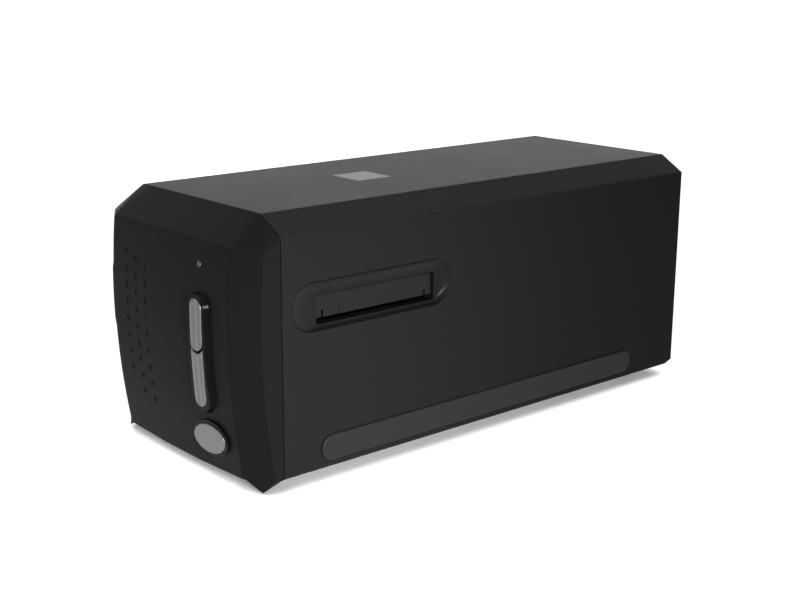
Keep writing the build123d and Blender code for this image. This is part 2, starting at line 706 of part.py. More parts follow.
with BuildPart() as main_housing:
    with BuildSketch(at_y(panel_y)):
        with BuildLine():
            casing_outline()
        make_face()
    extrude(amount=housing_length)
    open_faces = [faces().sort_by(Axis.Y)[0], faces().sort_by(Axis.Y)[-1], faces().sort_by(Axis.Z)[0]]
    offset(amount=-WALL, openings=open_faces)
    # Screw blocks: two high and two low at the rear, two along the foot of each side wall.
    for side in (1, -1):
        block_x = side * (inner_x - SIDE_BLOCK / 2)
        with BuildSketch(at_y(panel_y)):
            for block_z in panel_block_zs:
                with Locations((block_x, block_z)):
                    Rectangle(SIDE_BLOCK, SIDE_BLOCK)
        extrude(amount=SCREW_LENGTH + WALL)
        with BuildSketch(Plane.XY.offset(base_top_z)):
            for block_y in base_block_ys:
                with Locations((block_x, block_y)):
                    Rectangle(SIDE_BLOCK, SIDE_BLOCK)
        extrude(amount=SCREW_LENGTH)
    # Screw holes in the blocks.
    for side in (1, -1):
        block_x = side * (inner_x - SIDE_BLOCK / 2)
        with BuildSketch(at_y(panel_y)):
            for block_z in panel_block_zs:
                with Locations((block_x, block_z)):
                    Circle(SCREW_RADIUS)
        extrude(amount=SCREW_LENGTH, mode=Mode.SUBTRACT)
        with BuildSketch(Plane.XY.offset(base_top_z)):
            for block_y in base_block_ys:
                with Locations((block_x, block_y)):
                    Circle(SCREW_RADIUS)
        extrude(amount=SCREW_LENGTH - WALL, mode=Mode.SUBTRACT)
    # The film slot goes through both sides, and the label sits in a shallow recess in the top.
    with BuildSketch(at_x(-half_width)):
        with Locations((dish_y, SLOT_Z)):
            SlotOverall(SLOT_LENGTH, SLOT_HEIGHT)
    extrude(amount=BODY_WIDTH, mode=Mode.SUBTRACT)
    with BuildSketch(Plane.XY.offset(BODY_HEIGHT - LABEL_THICKNESS)):
        with Locations((0, seam_y + LABEL_SETBACK)):
            Rectangle(LABEL_SIZE + 2 * FIT_GAP, LABEL_SIZE + 2 * FIT_GAP)
    extrude(amount=LABEL_THICKNESS, mode=Mode.SUBTRACT)
keep(main_housing, "main_housing")

with BuildPart() as top_label:
    with BuildSketch(Plane.XY.offset(BODY_HEIGHT - LABEL_THICKNESS)):
        with Locations((0, seam_y + LABEL_SETBACK)):
            Rectangle(LABEL_SIZE, LABEL_SIZE)
    extrude(amount=LABEL_THICKNESS)
keep(top_label, "top_label")

# ================================================================ side strips
strip_front_y = seam_y + STRIP_FRONT_GAP
strip_rear_y = panel_y - STRIP_REAR_GAP

with BuildPart() as right_side_strip:
    with BuildSketch(at_x(half_width)):
        with Locations(((strip_front_y + strip_rear_y) / 2, STRIP_Z)):
            SlotOverall(strip_rear_y - strip_front_y, STRIP_HEIGHT)
    extrude(amount=STRIP_THICKNESS)
    fillet(faces().sort_by(Axis.X)[-1].edges(), radius=STRIP_EDGE)
keep(right_side_strip, "right_side_strip")

with BuildPart() as left_side_strip:
    add(right_side_strip.part.mirror(Plane.YZ))
keep(left_side_strip, "left_side_strip")

# ================================================================ base tray and feet
foot_x = half_width - FOOT_INSET_X
foot_ys = (seam_y + FOOT_INSET_FRONT, rear_y - FOOT_INSET_REAR)
foot_places = [(side * foot_x, y) for side in (1, -1) for y in foot_ys]
tray_half_width = inner_x - FIT_GAP
standoff_ys = (board_front_y + STANDOFF_FRONT_GAP, panel_y - STANDOFF_REAR_GAP)
standoff_places = [(side * STANDOFF_X, y) for side in (1, -1) for y in standoff_ys]
pillar_front_y = chassis_front_y + PILLAR_INSET
pillar_rear_y = chassis_rear_y - PILLAR_INSET
pillar_ys = (pillar_front_y, (pillar_front_y + pillar_rear_y) / 2, pillar_rear_y)
pillar_places = [(side * PILLAR_X, y) for side in (1, -1) for y in pillar_ys]
base_screw_places = [
    (side * (inner_x - SIDE_BLOCK / 2), y) for side in (1, -1) for y in base_block_ys
]

with BuildPart() as base_tray:
    with BuildSketch(Plane.XY.offset(FOOT_HEIGHT)):
        with Locations((0, (seam_y + panel_y) / 2)):
            Rectangle(2 * tray_half_width, housing_length)
    extrude(amount=WALL)
    with BuildSketch(Plane.XY.offset(base_top_z)):
        with Locations(*pillar_places):
            Circle(PILLAR_RADIUS)
    extrude(amount=CHASSIS_RISE)
    with BuildSketch(Plane.XY.offset(base_top_z)):
        with Locations(*standoff_places):
            Circle(STANDOFF_RADIUS)
    extrude(amount=STANDOFF_HEIGHT)
    # Seats for the feet, countersunk screw holes and the ventilation slots.
    with BuildSketch(Plane.XY.offset(FOOT_HEIGHT)):
        with Locations(*foot_places):
            Circle(FOOT_RADIUS + FIT_GAP)
    extrude(amount=FOOT_SEAT, mode=Mode.SUBTRACT)
    with BuildSketch(Plane.XY.offset(FOOT_HEIGHT)):
        with Locations(*base_screw_places):
            Circle(SCREW_HEAD_RADIUS + FIT_GAP)
    extrude(amount=SCREW_HEAD_HEIGHT, mode=Mode.SUBTRACT)
    with BuildSketch(Plane.XY.offset(FOOT_HEIGHT)):
        with Locations(*base_screw_places):
            Circle(SCREW_RADIUS + FIT_GAP)
        with Locations((0, (seam_y + panel_y) / 2)):
            with GridLocations(0, VENT_PITCH, 1, VENT_COUNT):
                SlotOverall(VENT_LENGTH, VENT_WIDTH)
    extrude(amount=WALL, mode=Mode.SUBTRACT)
keep(base_tray, "base_tray")

with BuildPart() as rubber_feet:
    with BuildSketch(Plane.XY):
        with Locations(*foot_places):
            Circle(FOOT_RADIUS)
    extrude(amount=FOOT_HEIGHT + FOOT_SEAT)
keep(rubber_feet, "rubber_feet")

# ================================================================ rear panel
main_board_z = base_top_z + STANDOFF_HEIGHT
board_top_z = main_board_z + BOARD_THICKNESS
usb_z = board_top_z + USB_HEIGHT / 2
jack_z = board_top_z + JACK_HEIGHT / 2
panel_screw_places = [
    (side * (inner_x - SIDE_BLOCK / 2), z) for side in (1, -1) for z in panel_block_zs
]

with BuildPart() as rear_panel:
    with BuildSketch(at_y(rear_y)):
        with BuildLine():
            casing_outline()
        make_face()
        with Locations((USB_X, usb_z)):
            Rectangle(USB_WIDTH + 2 * MOVE_GAP, USB_HEIGHT + 2 * MOVE_GAP, mode=Mode.SUBTRACT)
        with Locations((JACK_X, jack_z)):
            Rectangle(JACK_WIDTH + 2 * MOVE_GAP, JACK_HEIGHT + 2 * MOVE_GAP, mode=Mode.SUBTRACT)
        with Locations(*panel_screw_places):
            Circle(SCREW_RADIUS + FIT_GAP, mode=Mode.SUBTRACT)
    extrude(amount=PANEL_THICKNESS)
    with BuildSketch(at_y(rear_y)):
        with Locations(*panel_screw_places):
            Circle(SCREW_HEAD_RADIUS + FIT_GAP)
    extrude(amount=SCREW_HEAD_HEIGHT, mode=Mode.SUBTRACT)
keep(rear_panel, "rear_panel")

with BuildPart() as case_screws:
    with BuildSketch(at_y(rear_y)):
        with Locations(*panel_screw_places):
            Circle(SCREW_HEAD_RADIUS)
    extrude(amount=SCREW_HEAD_HEIGHT)
    with BuildSketch(at_y(rear_y - SCREW_HEAD_HEIGHT)):
        with Locations(*panel_screw_places):
            Circle(SCREW_RADIUS)
    extrude(amount=SCREW_LENGTH)
    with BuildSketch(Plane.XY.offset(FOOT_HEIGHT)):
        with Locations(*base_screw_places):
            Circle(SCREW_HEAD_RADIUS)
    extrude(amount=SCREW_HEAD_HEIGHT)
    with BuildSketch(Plane.XY.offset(FOOT_HEIGHT + SCREW_HEAD_HEIGHT)):
        with Locations(*base_screw_places):
            Circle(SCREW_RADIUS)
    extrude(amount=SCREW_LENGTH - WALL)
keep(case_screws, "case_screws")

# ================================================================ slot surrounds
with BuildPart() as right_slot_surround:
    # Flange behind the wall, then the plug that fills the hole in the wall.
    with BuildSketch(at_x(lip_back_x)):
        with Locations((dish_y, SLOT_Z)):
            SlotOverall(SLOT_LENGTH + FLANGE_LAP, SLOT_HEIGHT + FLANGE_LAP)
    extrude(amount=inner_x - lip_back_x)
    with BuildSketch(at_x(inner_x)):
        with Locations((dish_y, SLOT_Z)):
            SlotOverall(SLOT_LENGTH - 2 * FIT_GAP, SLOT_HEIGHT - 2 * FIT_GAP)
    extrude(amount=WALL)
    # The dish runs from the rounded outline in to the straight-sided opening.
    with BuildSketch(at_x(half_width)):
        with Locations((dish_y, SLOT_Z)):
            SlotOverall(SLOT_LENGTH - 2 * SLOT_RIM, SLOT_HEIGHT - 2 * SLOT_RIM)
    with BuildSketch(at_x(lip_x)):
        with Locations((slot_y, opening_z)):
            Rectangle(OPENING_LENGTH, OPENING_HEIGHT)
    loft(mode=Mode.SUBTRACT)
    with BuildSketch(at_x(lip_back_x)):
        with Locations((slot_y, opening_z)):
            Rectangle(OPENING_LENGTH, OPENING_HEIGHT)
    extrude(amount=DISH_DEPTH, mode=Mode.SUBTRACT)
    # Ears that hold the flap's pin, and the raised sill that meets the film track.
    for end in (1, -1):
        with BuildSketch(at_x(lip_back_x - EAR_DEPTH)):
            with Locations((slot_y + end * (ear_y + EAR_THICKNESS / 2), pin_z)):
                Rectangle(EAR_THICKNESS, EAR_HEIGHT)
        extrude(amount=EAR_DEPTH)
    with BuildSketch(at_x(lip_back_x - RIB_THICKNESS)):
        with Locations((slot_y, opening_low_z)):
            Rectangle(RIB_LENGTH, 2 * RIB_HEIGHT)
    extrude(amount=RIB_THICKNESS)
    with BuildSketch(at_y(slot_y + SLOT_LENGTH / 2)):
        with Locations((pin_x, pin_z)):
            Circle(PIN_RADIUS)
    extrude(amount=SLOT_LENGTH, mode=Mode.SUBTRACT)
keep(right_slot_surround, "right_slot_surround")

with BuildPart() as left_slot_surround:
    add(right_slot_surround.part.mirror(Plane.YZ))
keep(left_slot_surround, "left_slot_surround")

# ================================================================ dust flaps, pins and springs
notch_ys = (slot_y - NOTCH_REACH, slot_y + NOTCH_REACH)

with BuildPart() as right_flap:
    with BuildSketch(at_y(slot_y + flap_length / 2)):
        with Locations((pin_x, pin_z)):
            Circle(FLAP_THICKNESS / 2)
        with Locations((pin_x, (pin_z + flap_low_z) / 2)):
            Rectangle(FLAP_THICKNESS, pin_z - flap_low_z)
        with Locations((pin_x, pin_z)):
            Circle(PIN_RADIUS + SHAFT_GAP, mode=Mode.SUBTRACT)
    extrude(amount=flap_length)
    # Two short slits in the lower edge, where the flap's stiffening ribs end.
    with BuildSketch(at_x(pin_x)):
        with Locations(*[(y, flap_low_z) for y in notch_ys]):
            Rectangle(NOTCH_WIDTH, 2 * FLAP_NOTCH)
    extrude(amount=FLAP_THICKNESS / 2, mode=Mode.SUBTRACT)
keep(right_flap, "right_flap")

with BuildPart() as left_flap:
    add(right_flap.part.mirror(Plane.YZ))
keep(left_flap, "left_flap")

pin_length = 2 * (ear_y + EAR_THICKNESS)

with BuildPart() as right_flap_pin:
    with BuildSketch(at_y(slot_y + pin_length / 2)):
        with Locations((pin_x, pin_z)):
            Circle(PIN_RADIUS)
    extrude(amount=pin_length)
keep(right_flap_pin, "right_flap_pin")

with BuildPart() as left_flap_pin:
    add(right_flap_pin.part.mirror(Plane.YZ))
keep(left_flap_pin, "left_flap_pin")

spring_radius = PIN_RADIUS + SHAFT_GAP + SPRING_WIRE / 2
spring_start_y = slot_y - ear_y + MOVE_GAP
spring_run = ear_y - flap_length / 2 - 2 * MOVE_GAP - SPRING_WIRE

with BuildPart() as right_flap_spring:
    with BuildLine() as coil_line:
        Helix(
            pitch=spring_run / SPRING_TURNS,
            height=spring_run,
            radius=spring_radius,
            center=(pin_x, spring_start_y + SPRING_WIRE / 2, pin_z),
            direction=(0, 1, 0),
        )
    with BuildSketch(Plane(origin=coil_line.line @ 0, z_dir=coil_line.line % 0)):
        Circle(SPRING_WIRE / 2)
    sweep(path=coil_line.line)
keep(right_flap_spring, "right_flap_spring")

with BuildPart() as left_flap_spring:
    add(right_flap_spring.part.mirror(Plane.YZ))
keep(left_flap_spring, "left_flap_spring")

# ================================================================ film track, gate and cover
roller_window = (2 * ROLLER_RADIUS + ROLLER_CLEARANCE, ROLLER_WIDTH + 2 * ROLLER_CLEARANCE)
roller_ys = (slot_y - ROLLER_OFFSET, slot_y + ROLLER_OFFSET)
roller_places = [(feed_x, y) for y in roller_ys]

with BuildPart() as film_track:
    with BuildSketch(at_x(-track_half_length)):
        with Locations((slot_y, (floor_low_z + cover_z) / 2)):
            Rectangle(TRACK_WIDTH, cover_z - floor_low_z)
        with Locations((slot_y, (floor_z + cover_z) / 2)):
            Rectangle(TRACK_WIDTH - 2 * TRACK_RAIL, PASSAGE_HEIGHT, mode=Mode.SUBTRACT)
    extrude(amount=2 * track_half_length)
    with BuildSketch(Plane.XY.offset(floor_low_z)):
        with Locations((0, slot_y)):
            Rectangle(WINDOW_WIDTH, WINDOW_LENGTH)
        with Locations(*roller_places):
            Rectangle(*roller_window)
    extrude(amount=TRACK_FLOOR, mode=Mode.SUBTRACT)
    with BuildSketch(Plane.XY.offset(floor_z - GATE_THICKNESS)):
        with Locations((0, slot_y)):
            Rectangle(WINDOW_WIDTH + 2 * GATE_MARGIN, WINDOW_LENGTH + 2 * GATE_MARGIN)
    extrude(amount=GATE_THICKNESS, mode=Mode.SUBTRACT)
keep(film_track, "film_track")

with BuildPart() as film_gate:
    with BuildSketch(Plane.XY.offset(floor_z - GATE_THICKNESS)):
        with Locations((0, slot_y)):
            Rectangle(WINDOW_WIDTH + 2 * GATE_MARGIN, WINDOW_LENGTH + 2 * GATE_MARGIN)
            Rectangle(GATE_WIDTH, GATE_LENGTH, mode=Mode.SUBTRACT)
    extrude(amount=GATE_THICKNESS)
keep(film_gate, "film_gate")

ear_inner_y = ROLLER_OFFSET + ROLLER_WIDTH / 2 + 2 * ROLLER_CLEARANCE + EAR_THICKNESS
cover_ear_top = pinch_z + SHAFT_RADIUS + EAR_THICKNESS

with BuildPart() as track_cover:
    with BuildSketch(Plane.XY.offset(cover_z)):
        with Locations((0, slot_y)):
            Rectangle(2 * track_half_length, TRACK_WIDTH)
            Rectangle(WINDOW_WIDTH, WINDOW_LENGTH, mode=Mode.SUBTRACT)
        with Locations(*roller_places):
            Rectangle(*roller_window, mode=Mode.SUBTRACT)
    extrude(amount=COVER_THICKNESS)
    for end in (1, -1):
        with BuildSketch(at_y(slot_y + end * ear_inner_y + EAR_THICKNESS / 2)):
            with Locations((feed_x, (cover_top_z + cover_ear_top) / 2)):
                Rectangle(2 * EAR_HEIGHT, cover_ear_top - cover_top_z)
            with Locations((feed_x, pinch_z)):
                Circle(SHAFT_RADIUS + SHAFT_GAP, mode=Mode.SUBTRACT)
        extrude(amount=EAR_THICKNESS)
keep(track_cover, "track_cover")

# ================================================================ feed and pinch shafts
feed_front_y = slot_y - TRACK_WIDTH / 2 - MOVE_GAP

with BuildPart() as feed_shaft:
    with BuildSketch(at_y(near_layer_y)):
        with Locations((feed_x, feed_z)):
            Circle(SHAFT_RADIUS)
    extrude(amount=near_layer_y - feed_front_y)
keep(feed_shaft, "feed_shaft")

with BuildPart() as feed_rollers:
    for roller_y in roller_ys:
        with BuildSketch(at_y(roller_y + ROLLER_WIDTH / 2)):
            with Locations((feed_x, feed_z)):
                Circle(ROLLER_RADIUS)
                Circle(SHAFT_RADIUS, mode=Mode.SUBTRACT)
        extrude(amount=ROLLER_WIDTH)
keep(feed_rollers, "feed_rollers")

pinch_half_length = ear_inner_y + EAR_THICKNESS

with BuildPart() as pinch_shaft:
    with BuildSketch(at_y(slot_y + pinch_half_length)):
        with Locations((feed_x, pinch_z)):
            Circle(SHAFT_RADIUS)
    extrude(amount=2 * pinch_half_length)
keep(pinch_shaft, "pinch_shaft")

with BuildPart() as pinch_rollers:
    for roller_y in roller_ys:
        with BuildSketch(at_y(roller_y + ROLLER_WIDTH / 2)):
            with Locations((feed_x, pinch_z)):
                Circle(PINCH_RADIUS)
                Circle(SHAFT_RADIUS, mode=Mode.SUBTRACT)
        extrude(amount=ROLLER_WIDTH)
keep(pinch_rollers, "pinch_rollers")

# ================================================================ gear train
feed_axis = Vector(feed_x, feed_z)
reduction_reach = (FEED_TEETH + REDUCTION_SMALL_TEETH) * MODULE / 2
reduction_axis = feed_axis + Vector(reduction_reach, 0).rotate(Axis.Z, REDUCTION_ANGLE)
motor_reach = (REDUCTION_LARGE_TEETH + MOTOR_TEETH) * MODULE / 2
motor_axis = reduction_axis + Vector(motor_reach, 0).rotate(Axis.Z, MOTOR_ANGLE)


def gap_angle(angle, teeth):
    """Tooth angle that leaves a gap, not a tooth, pointing back along the line of centres."""
    return angle + 180 + 180 / teeth


with BuildPart() as feed_gear:
    with BuildSketch(at_y(near_layer_y)):
        with Locations((feed_axis.X, feed_axis.Y)):
            gear_face(FEED_TEETH, REDUCTION_ANGLE)
            Circle(SHAFT_RADIUS, mode=Mode.SUBTRACT)
    extrude(amount=GEAR_FACE)
keep(feed_gear, "feed_gear")

with BuildPart() as reduction_gear:
    with BuildSketch(at_y(near_layer_y + GEAR_GAP)):
        with Locations((reduction_axis.X, reduction_axis.Y)):
            gear_face(REDUCTION_SMALL_TEETH, gap_angle(REDUCTION_ANGLE, REDUCTION_SMALL_TEETH))
    extrude(amount=GEAR_FACE + GEAR_GAP)
    with BuildSketch(at_y(far_layer_y)):
        with Locations((reduction_axis.X, reduction_axis.Y)):
            gear_face(REDUCTION_LARGE_TEETH, MOTOR_ANGLE)
    extrude(amount=GEAR_FACE)
    with BuildSketch(at_y(far_layer_y)):
        with Locations((reduction_axis.X, reduction_axis.Y)):
            Circle(SHAFT_RADIUS + SHAFT_GAP)
    extrude(amount=2 * GEAR_FACE + GEAR_GAP, mode=Mode.SUBTRACT)
keep(reduction_gear, "reduction_gear")

with BuildPart() as gear_stud:
    with BuildSketch(at_y(gear_plate_y)):
        with Locations((reduction_axis.X, reduction_axis.Y)):
            Circle(SHAFT_RADIUS)
    extrude(amount=gear_plate_y - wall_rear_y + WALL)
keep(gear_stud, "gear_stud")

with BuildPart() as motor_pinion:
    with BuildSketch(at_y(far_layer_y)):
        with Locations((motor_axis.X, motor_axis.Y)):
            gear_face(MOTOR_TEETH, gap_angle(MOTOR_ANGLE, MOTOR_TEETH))
    extrude(amount=GEAR_FACE)
    with BuildSketch(at_y(gear_plate_y + MOTOR_BORE_DEPTH - MOVE_GAP)):
        with Locations((motor_axis.X, motor_axis.Y)):
            Circle(MOTOR_SHAFT_RADIUS)
    extrude(amount=gear_plate_y + MOTOR_BORE_DEPTH - MOVE_GAP - far_layer_y)
keep(motor_pinion, "motor_pinion")

with BuildPart() as feed_motor:
    with BuildSketch(at_y(gear_plate_y + MOTOR_LENGTH)):
        with Locations((motor_axis.X, motor_axis.Y)):
            Circle(MOTOR_RADIUS)
    extrude(amount=MOTOR_LENGTH)
    fillet(faces().sort_by(Axis.Y)[-1].edges(), radius=MOTOR_EDGE)
    with BuildSketch(at_y(gear_plate_y + MOTOR_BORE_DEPTH)):
        with Locations((motor_axis.X, motor_axis.Y)):
            Circle(MOTOR_SHAFT_RADIUS + SHAFT_GAP)
    extrude(amount=MOTOR_BORE_DEPTH, mode=Mode.SUBTRACT)
keep(feed_motor, "feed_motor")

gear_plate_left = reduction_axis.X - GEAR_PLATE_MARGIN
gear_plate_right = motor_axis.X + MOTOR_RADIUS
gear_plate_top = reduction_axis.Y + GEAR_PLATE_MARGIN
gear_plate_x = (gear_plate_left + gear_plate_right) / 2

with BuildPart() as gear_plate:
    with BuildSketch(at_y(gear_plate_y)):
        with Locations((gear_plate_x, (chassis_top_z + gear_plate_top) / 2)):
            Rectangle(gear_plate_right - gear_plate_left, gear_plate_top - chassis_top_z)
        fillet(vertices().group_by(Axis.Y)[-1], radius=GEAR_PLATE_MARGIN / 2)
        with Locations((reduction_axis.X, reduction_axis.Y)):
            Circle(SHAFT_RADIUS, mode=Mode.SUBTRACT)
        with Locations((motor_axis.X, motor_axis.Y)):
            Circle(MOTOR_TEETH * MODULE / 2 + 2 * MODULE, mode=Mode.SUBTRACT)
    extrude(amount=GEAR_PLATE_THICKNESS)
keep(gear_plate, "gear_plate")

# ================================================================ chassis frame
with BuildPart() as chassis_frame:
    with BuildSketch(Plane.XY.offset(chassis_z)):
        with Locations((0, (chassis_front_y + chassis_rear_y) / 2)):
            Rectangle(2 * CHASSIS_HALF_WIDTH, chassis_rear_y - chassis_front_y)
    extrude(amount=CHASSIS_THICKNESS)
    # Two portal walls carry the film track; the rear one has the light's way to the lens.
    for wall_y in (wall_rear_y, chassis_front_y + WALL):
        with BuildSketch(at_y(wall_y)):
            with Locations((0, (chassis_top_z + floor_low_z) / 2)):
                Rectangle(2 * PORTAL_HALF_WIDTH, floor_low_z - chassis_top_z)
            with Locations((0, optic_z)):
                Rectangle(BEAM_WIDTH, BEAM_HEIGHT, mode=Mode.SUBTRACT)
            with Locations((feed_x, feed_z)):
                Circle(SHAFT_RADIUS + SHAFT_GAP, mode=Mode.SUBTRACT)
            with Locations((reduction_axis.X, reduction_axis.Y)):
                Circle(SHAFT_RADIUS, mode=Mode.SUBTRACT)
        extrude(amount=WALL)
keep(chassis_frame, "chassis_frame")

# ================================================================ lamp
lamp_top_z = cover_top_z + LAMP_HEIGHT
lamp_axis_z = cover_top_z + LAMP_AXIS_RISE

with BuildPart() as lamp_housing:
    with BuildSketch(Plane.XY.offset(cover_top_z)):
        with Locations((0, slot_y)):
            Rectangle(2 * LAMP_HALF_WIDTH, 2 * LAMP_HALF_LENGTH)
    extrude(amount=LAMP_HEIGHT)
    fillet(edges().filter_by(Axis.Y).group_by(Axis.Z)[-1], radius=2 * LAMP_WALL)
    offset(amount=-LAMP_WALL, openings=faces().sort_by(Axis.Z)[0])
    with BuildSketch(at_y(slot_y + LAMP_HALF_LENGTH)):
        with Locations((0, lamp_axis_z)):
            Circle(LAMP_RADIUS)
    extrude(amount=2 * LAMP_HALF_LENGTH, mode=Mode.SUBTRACT)
keep(lamp_housing, "lamp_housing")

lamp_half_length = LAMP_HALF_LENGTH + LAMP_CAP_LENGTH - LAMP_WALL / 2

with BuildPart() as lamp_tube:
    with BuildSketch(at_y(slot_y + lamp_half_length)):
        with Locations((0, lamp_axis_z)):
            Circle(LAMP_RADIUS)
    extrude(amount=2 * lamp_half_length)
keep(lamp_tube, "lamp_tube")

with BuildPart() as lamp_caps:
    for cap_y in (slot_y + LAMP_HALF_LENGTH + LAMP_CAP_LENGTH, slot_y - LAMP_HALF_LENGTH):
        with BuildSketch(at_y(cap_y)):
            with Locations((0, lamp_axis_z)):
                Circle(LAMP_CAP_RADIUS)
        extrude(amount=LAMP_CAP_LENGTH)
    with BuildSketch(at_y(slot_y + lamp_half_length)):
        with Locations((0, lamp_axis_z)):
            Circle(LAMP_RADIUS)
    extrude(amount=2 * lamp_half_length, mode=Mode.SUBTRACT)
keep(lamp_caps, "lamp_caps")

diffuser_half_width = LAMP_HALF_WIDTH - LAMP_WALL - FIT_GAP
diffuser_half_length = LAMP_HALF_LENGTH - LAMP_WALL - FIT_GAP

with BuildPart() as diffuser:
    with BuildSketch(Plane.XY.offset(cover_top_z)):
        with Locations((0, slot_y)):
            Rectangle(2 * diffuser_half_width, 2 * diffuser_half_length)
    extrude(amount=DIFFUSER_THICKNESS)
keep(diffuser, "diffuser")

# ================================================================ mirror
mirror_drop = MIRROR_THICKNESS * sqrt(2)
bracket_front_y = slot_y - MIRROR_BACK
bracket_top_z = optic_z + MIRROR_BACK - mirror_drop
bracket_toe_y = slot_y + optic_z - mirror_drop - chassis_top_z

with BuildPart() as mirror_bracket:
    with BuildSketch(at_x(-MIRROR_WIDTH / 2)):
        with BuildLine():
            Polyline(
                (bracket_front_y, chassis_top_z),
                (bracket_toe_y, chassis_top_z),
                (bracket_front_y, bracket_top_z),
                close=True,
            )
        make_face()
    extrude(amount=MIRROR_WIDTH)
    # Two pockets leave a moulded wedge of three ribs under a thin sloping seat.
    for pocket_x in (-MIRROR_WIDTH / 2 + WALL, WALL / 2):
        with BuildSketch(at_x(pocket_x)):
            with BuildLine():
                Polyline(
                    (bracket_front_y - WALL, chassis_top_z),
                    (bracket_toe_y - 2 * WALL, chassis_top_z),
                    (bracket_front_y - WALL, bracket_top_z - WALL),
                    close=True,
                )
            make_face()
        extrude(amount=MIRROR_WIDTH / 2 - 1.5 * WALL, mode=Mode.SUBTRACT)
keep(mirror_bracket, "mirror_bracket")

mirror_seat = Plane(origin=(0, slot_y, optic_z - mirror_drop), x_dir=(1, 0, 0), z_dir=(0, 1, 1))

with BuildPart() as folding_mirror:
    with BuildSketch(mirror_seat):
        Rectangle(MIRROR_WIDTH, MIRROR_LENGTH)
    extrude(amount=MIRROR_THICKNESS)
keep(folding_mirror, "folding_mirror")

# ================================================================ guide rods and brackets
rod_front_y = gear_plate_y + ROD_FRONT_GAP
rod_rear_y = chassis_rear_y - ROD_REAR_GAP
rod_places = [(side * ROD_X, rod_z) for side in (1, -1)]

with BuildPart() as guide_rods:
    with BuildSketch(at_y(rod_rear_y)):
        with Locations(*rod_places):
            Circle(ROD_RADIUS)
    extrude(amount=rod_rear_y - rod_front_y)
keep(guide_rods, "guide_rods")

with BuildPart() as rod_brackets:
    for bracket_y in (rod_rear_y, rod_front_y + ROD_BRACKET_THICKNESS):
        with BuildSketch(at_y(bracket_y)):
            with Locations((0, chassis_top_z + ROD_BRACKET_HEIGHT / 2)):
                Rectangle(2 * (ROD_X + BEARING_WIDTH / 2), ROD_BRACKET_HEIGHT)
            with Locations(*rod_places):
                Circle(ROD_RADIUS, mode=Mode.SUBTRACT)
        extrude(amount=ROD_BRACKET_THICKNESS)
keep(rod_brackets, "rod_brackets")

# ================================================================ focusing carriage
carriage_y = (rod_front_y + rod_rear_y) / 2
carriage_rear_y = carriage_y + CARRIAGE_LENGTH / 2
carriage_front_y = carriage_y - CARRIAGE_LENGTH / 2
carriage_half_width = ROD_X + BEARING_WIDTH / 2
plate_low_z = rod_z + CARRIAGE_RISE
plate_top_z = plate_low_z + CARRIAGE_PLATE
pinion_z = chassis_top_z + PINION_RISE
bearing_low_z = rod_z - BEARING_WIDTH / 2
ring_half_width = LENS_RADIUS + RING_WALL

with BuildPart() as focus_carriage:
    with BuildSketch(at_y(carriage_rear_y)):
        with Locations((0, (plate_low_z + plate_top_z) / 2)):
            Rectangle(2 * carriage_half_width, CARRIAGE_PLATE)
    extrude(amount=CARRIAGE_LENGTH)
    # A bearing block at each end of each rod.
    for block_rear_y in (carriage_rear_y, carriage_front_y + BEARING_LENGTH):
        with BuildSketch(at_y(block_rear_y)):
            with Locations(*[(x, (bearing_low_z + plate_top_z) / 2) for x, _ in rod_places]):
                Rectangle(BEARING_WIDTH, plate_top_z - bearing_low_z)
        extrude(amount=BEARING_LENGTH)
    # Lens ring at the front and the upright that holds the sensor at the rear.
    with BuildSketch(at_y(carriage_front_y + RING_THICKNESS)):
        with Locations((0, optic_z)):
            Circle(ring_half_width)
        with Locations((0, (plate_top_z + optic_z) / 2)):
            Rectangle(2 * ring_half_width, optic_z - plate_top_z)
    extrude(amount=RING_THICKNESS)
    with BuildSketch(at_y(carriage_rear_y)):
        with Locations((0, (plate_top_z + optic_z + SENSOR_TOP_RISE) / 2)):
            Rectangle(2 * SENSOR_HALF_WIDTH, optic_z + SENSOR_TOP_RISE - plate_top_z)
        with Locations((0, optic_z + WALL)):
            Rectangle(SENSOR_WINDOW_WIDTH, SENSOR_WINDOW_HEIGHT, mode=Mode.SUBTRACT)
    extrude(amount=SENSOR_WALL)
    # Side wall that carries the rack.
    with BuildSketch(at_y(carriage_rear_y)):
        with Locations((RACK_WALL / 2 - carriage_half_width, (plate_top_z + pinion_z + RACK_HEIGHT) / 2)):
            Rectangle(RACK_WALL, pinion_z + RACK_HEIGHT - plate_top_z)
    extrude(amount=CARRIAGE_LENGTH)
    with BuildSketch(at_y(carriage_rear_y)):
        with Locations(*rod_places):
            Circle(ROD_RADIUS + SHAFT_GAP)
    extrude(amount=CARRIAGE_LENGTH, mode=Mode.SUBTRACT)
    with BuildSketch(at_y(carriage_front_y + RING_THICKNESS)):
        with Locations((0, optic_z)):
            Circle(LENS_RADIUS)
    extrude(amount=RING_THICKNESS, mode=Mode.SUBTRACT)
keep(focus_carriage, "focus_carriage")

lens_front_y = carriage_front_y - LENS_NOSE_LENGTH
glass_ys = (lens_front_y + LENS_GLASS_THICKNESS, lens_front_y + LENS_LENGTH)

with BuildPart() as lens_barrel:
    with BuildSketch(at_y(lens_front_y + LENS_LENGTH)):
        with Locations((0, optic_z)):
            Circle(LENS_RADIUS)
    extrude(amount=LENS_LENGTH - LENS_NOSE_LENGTH)
    with BuildSketch(at_y(carriage_front_y)):
        with Locations((0, optic_z)):
            Circle(LENS_NOSE_RADIUS)
    extrude(amount=LENS_NOSE_LENGTH)
    with BuildSketch(at_y(lens_front_y + LENS_LENGTH)):
        with Locations((0, optic_z)):
            Circle(LENS_GLASS_RADIUS)
    extrude(amount=LENS_LENGTH, mode=Mode.SUBTRACT)
keep(lens_barrel, "lens_barrel")

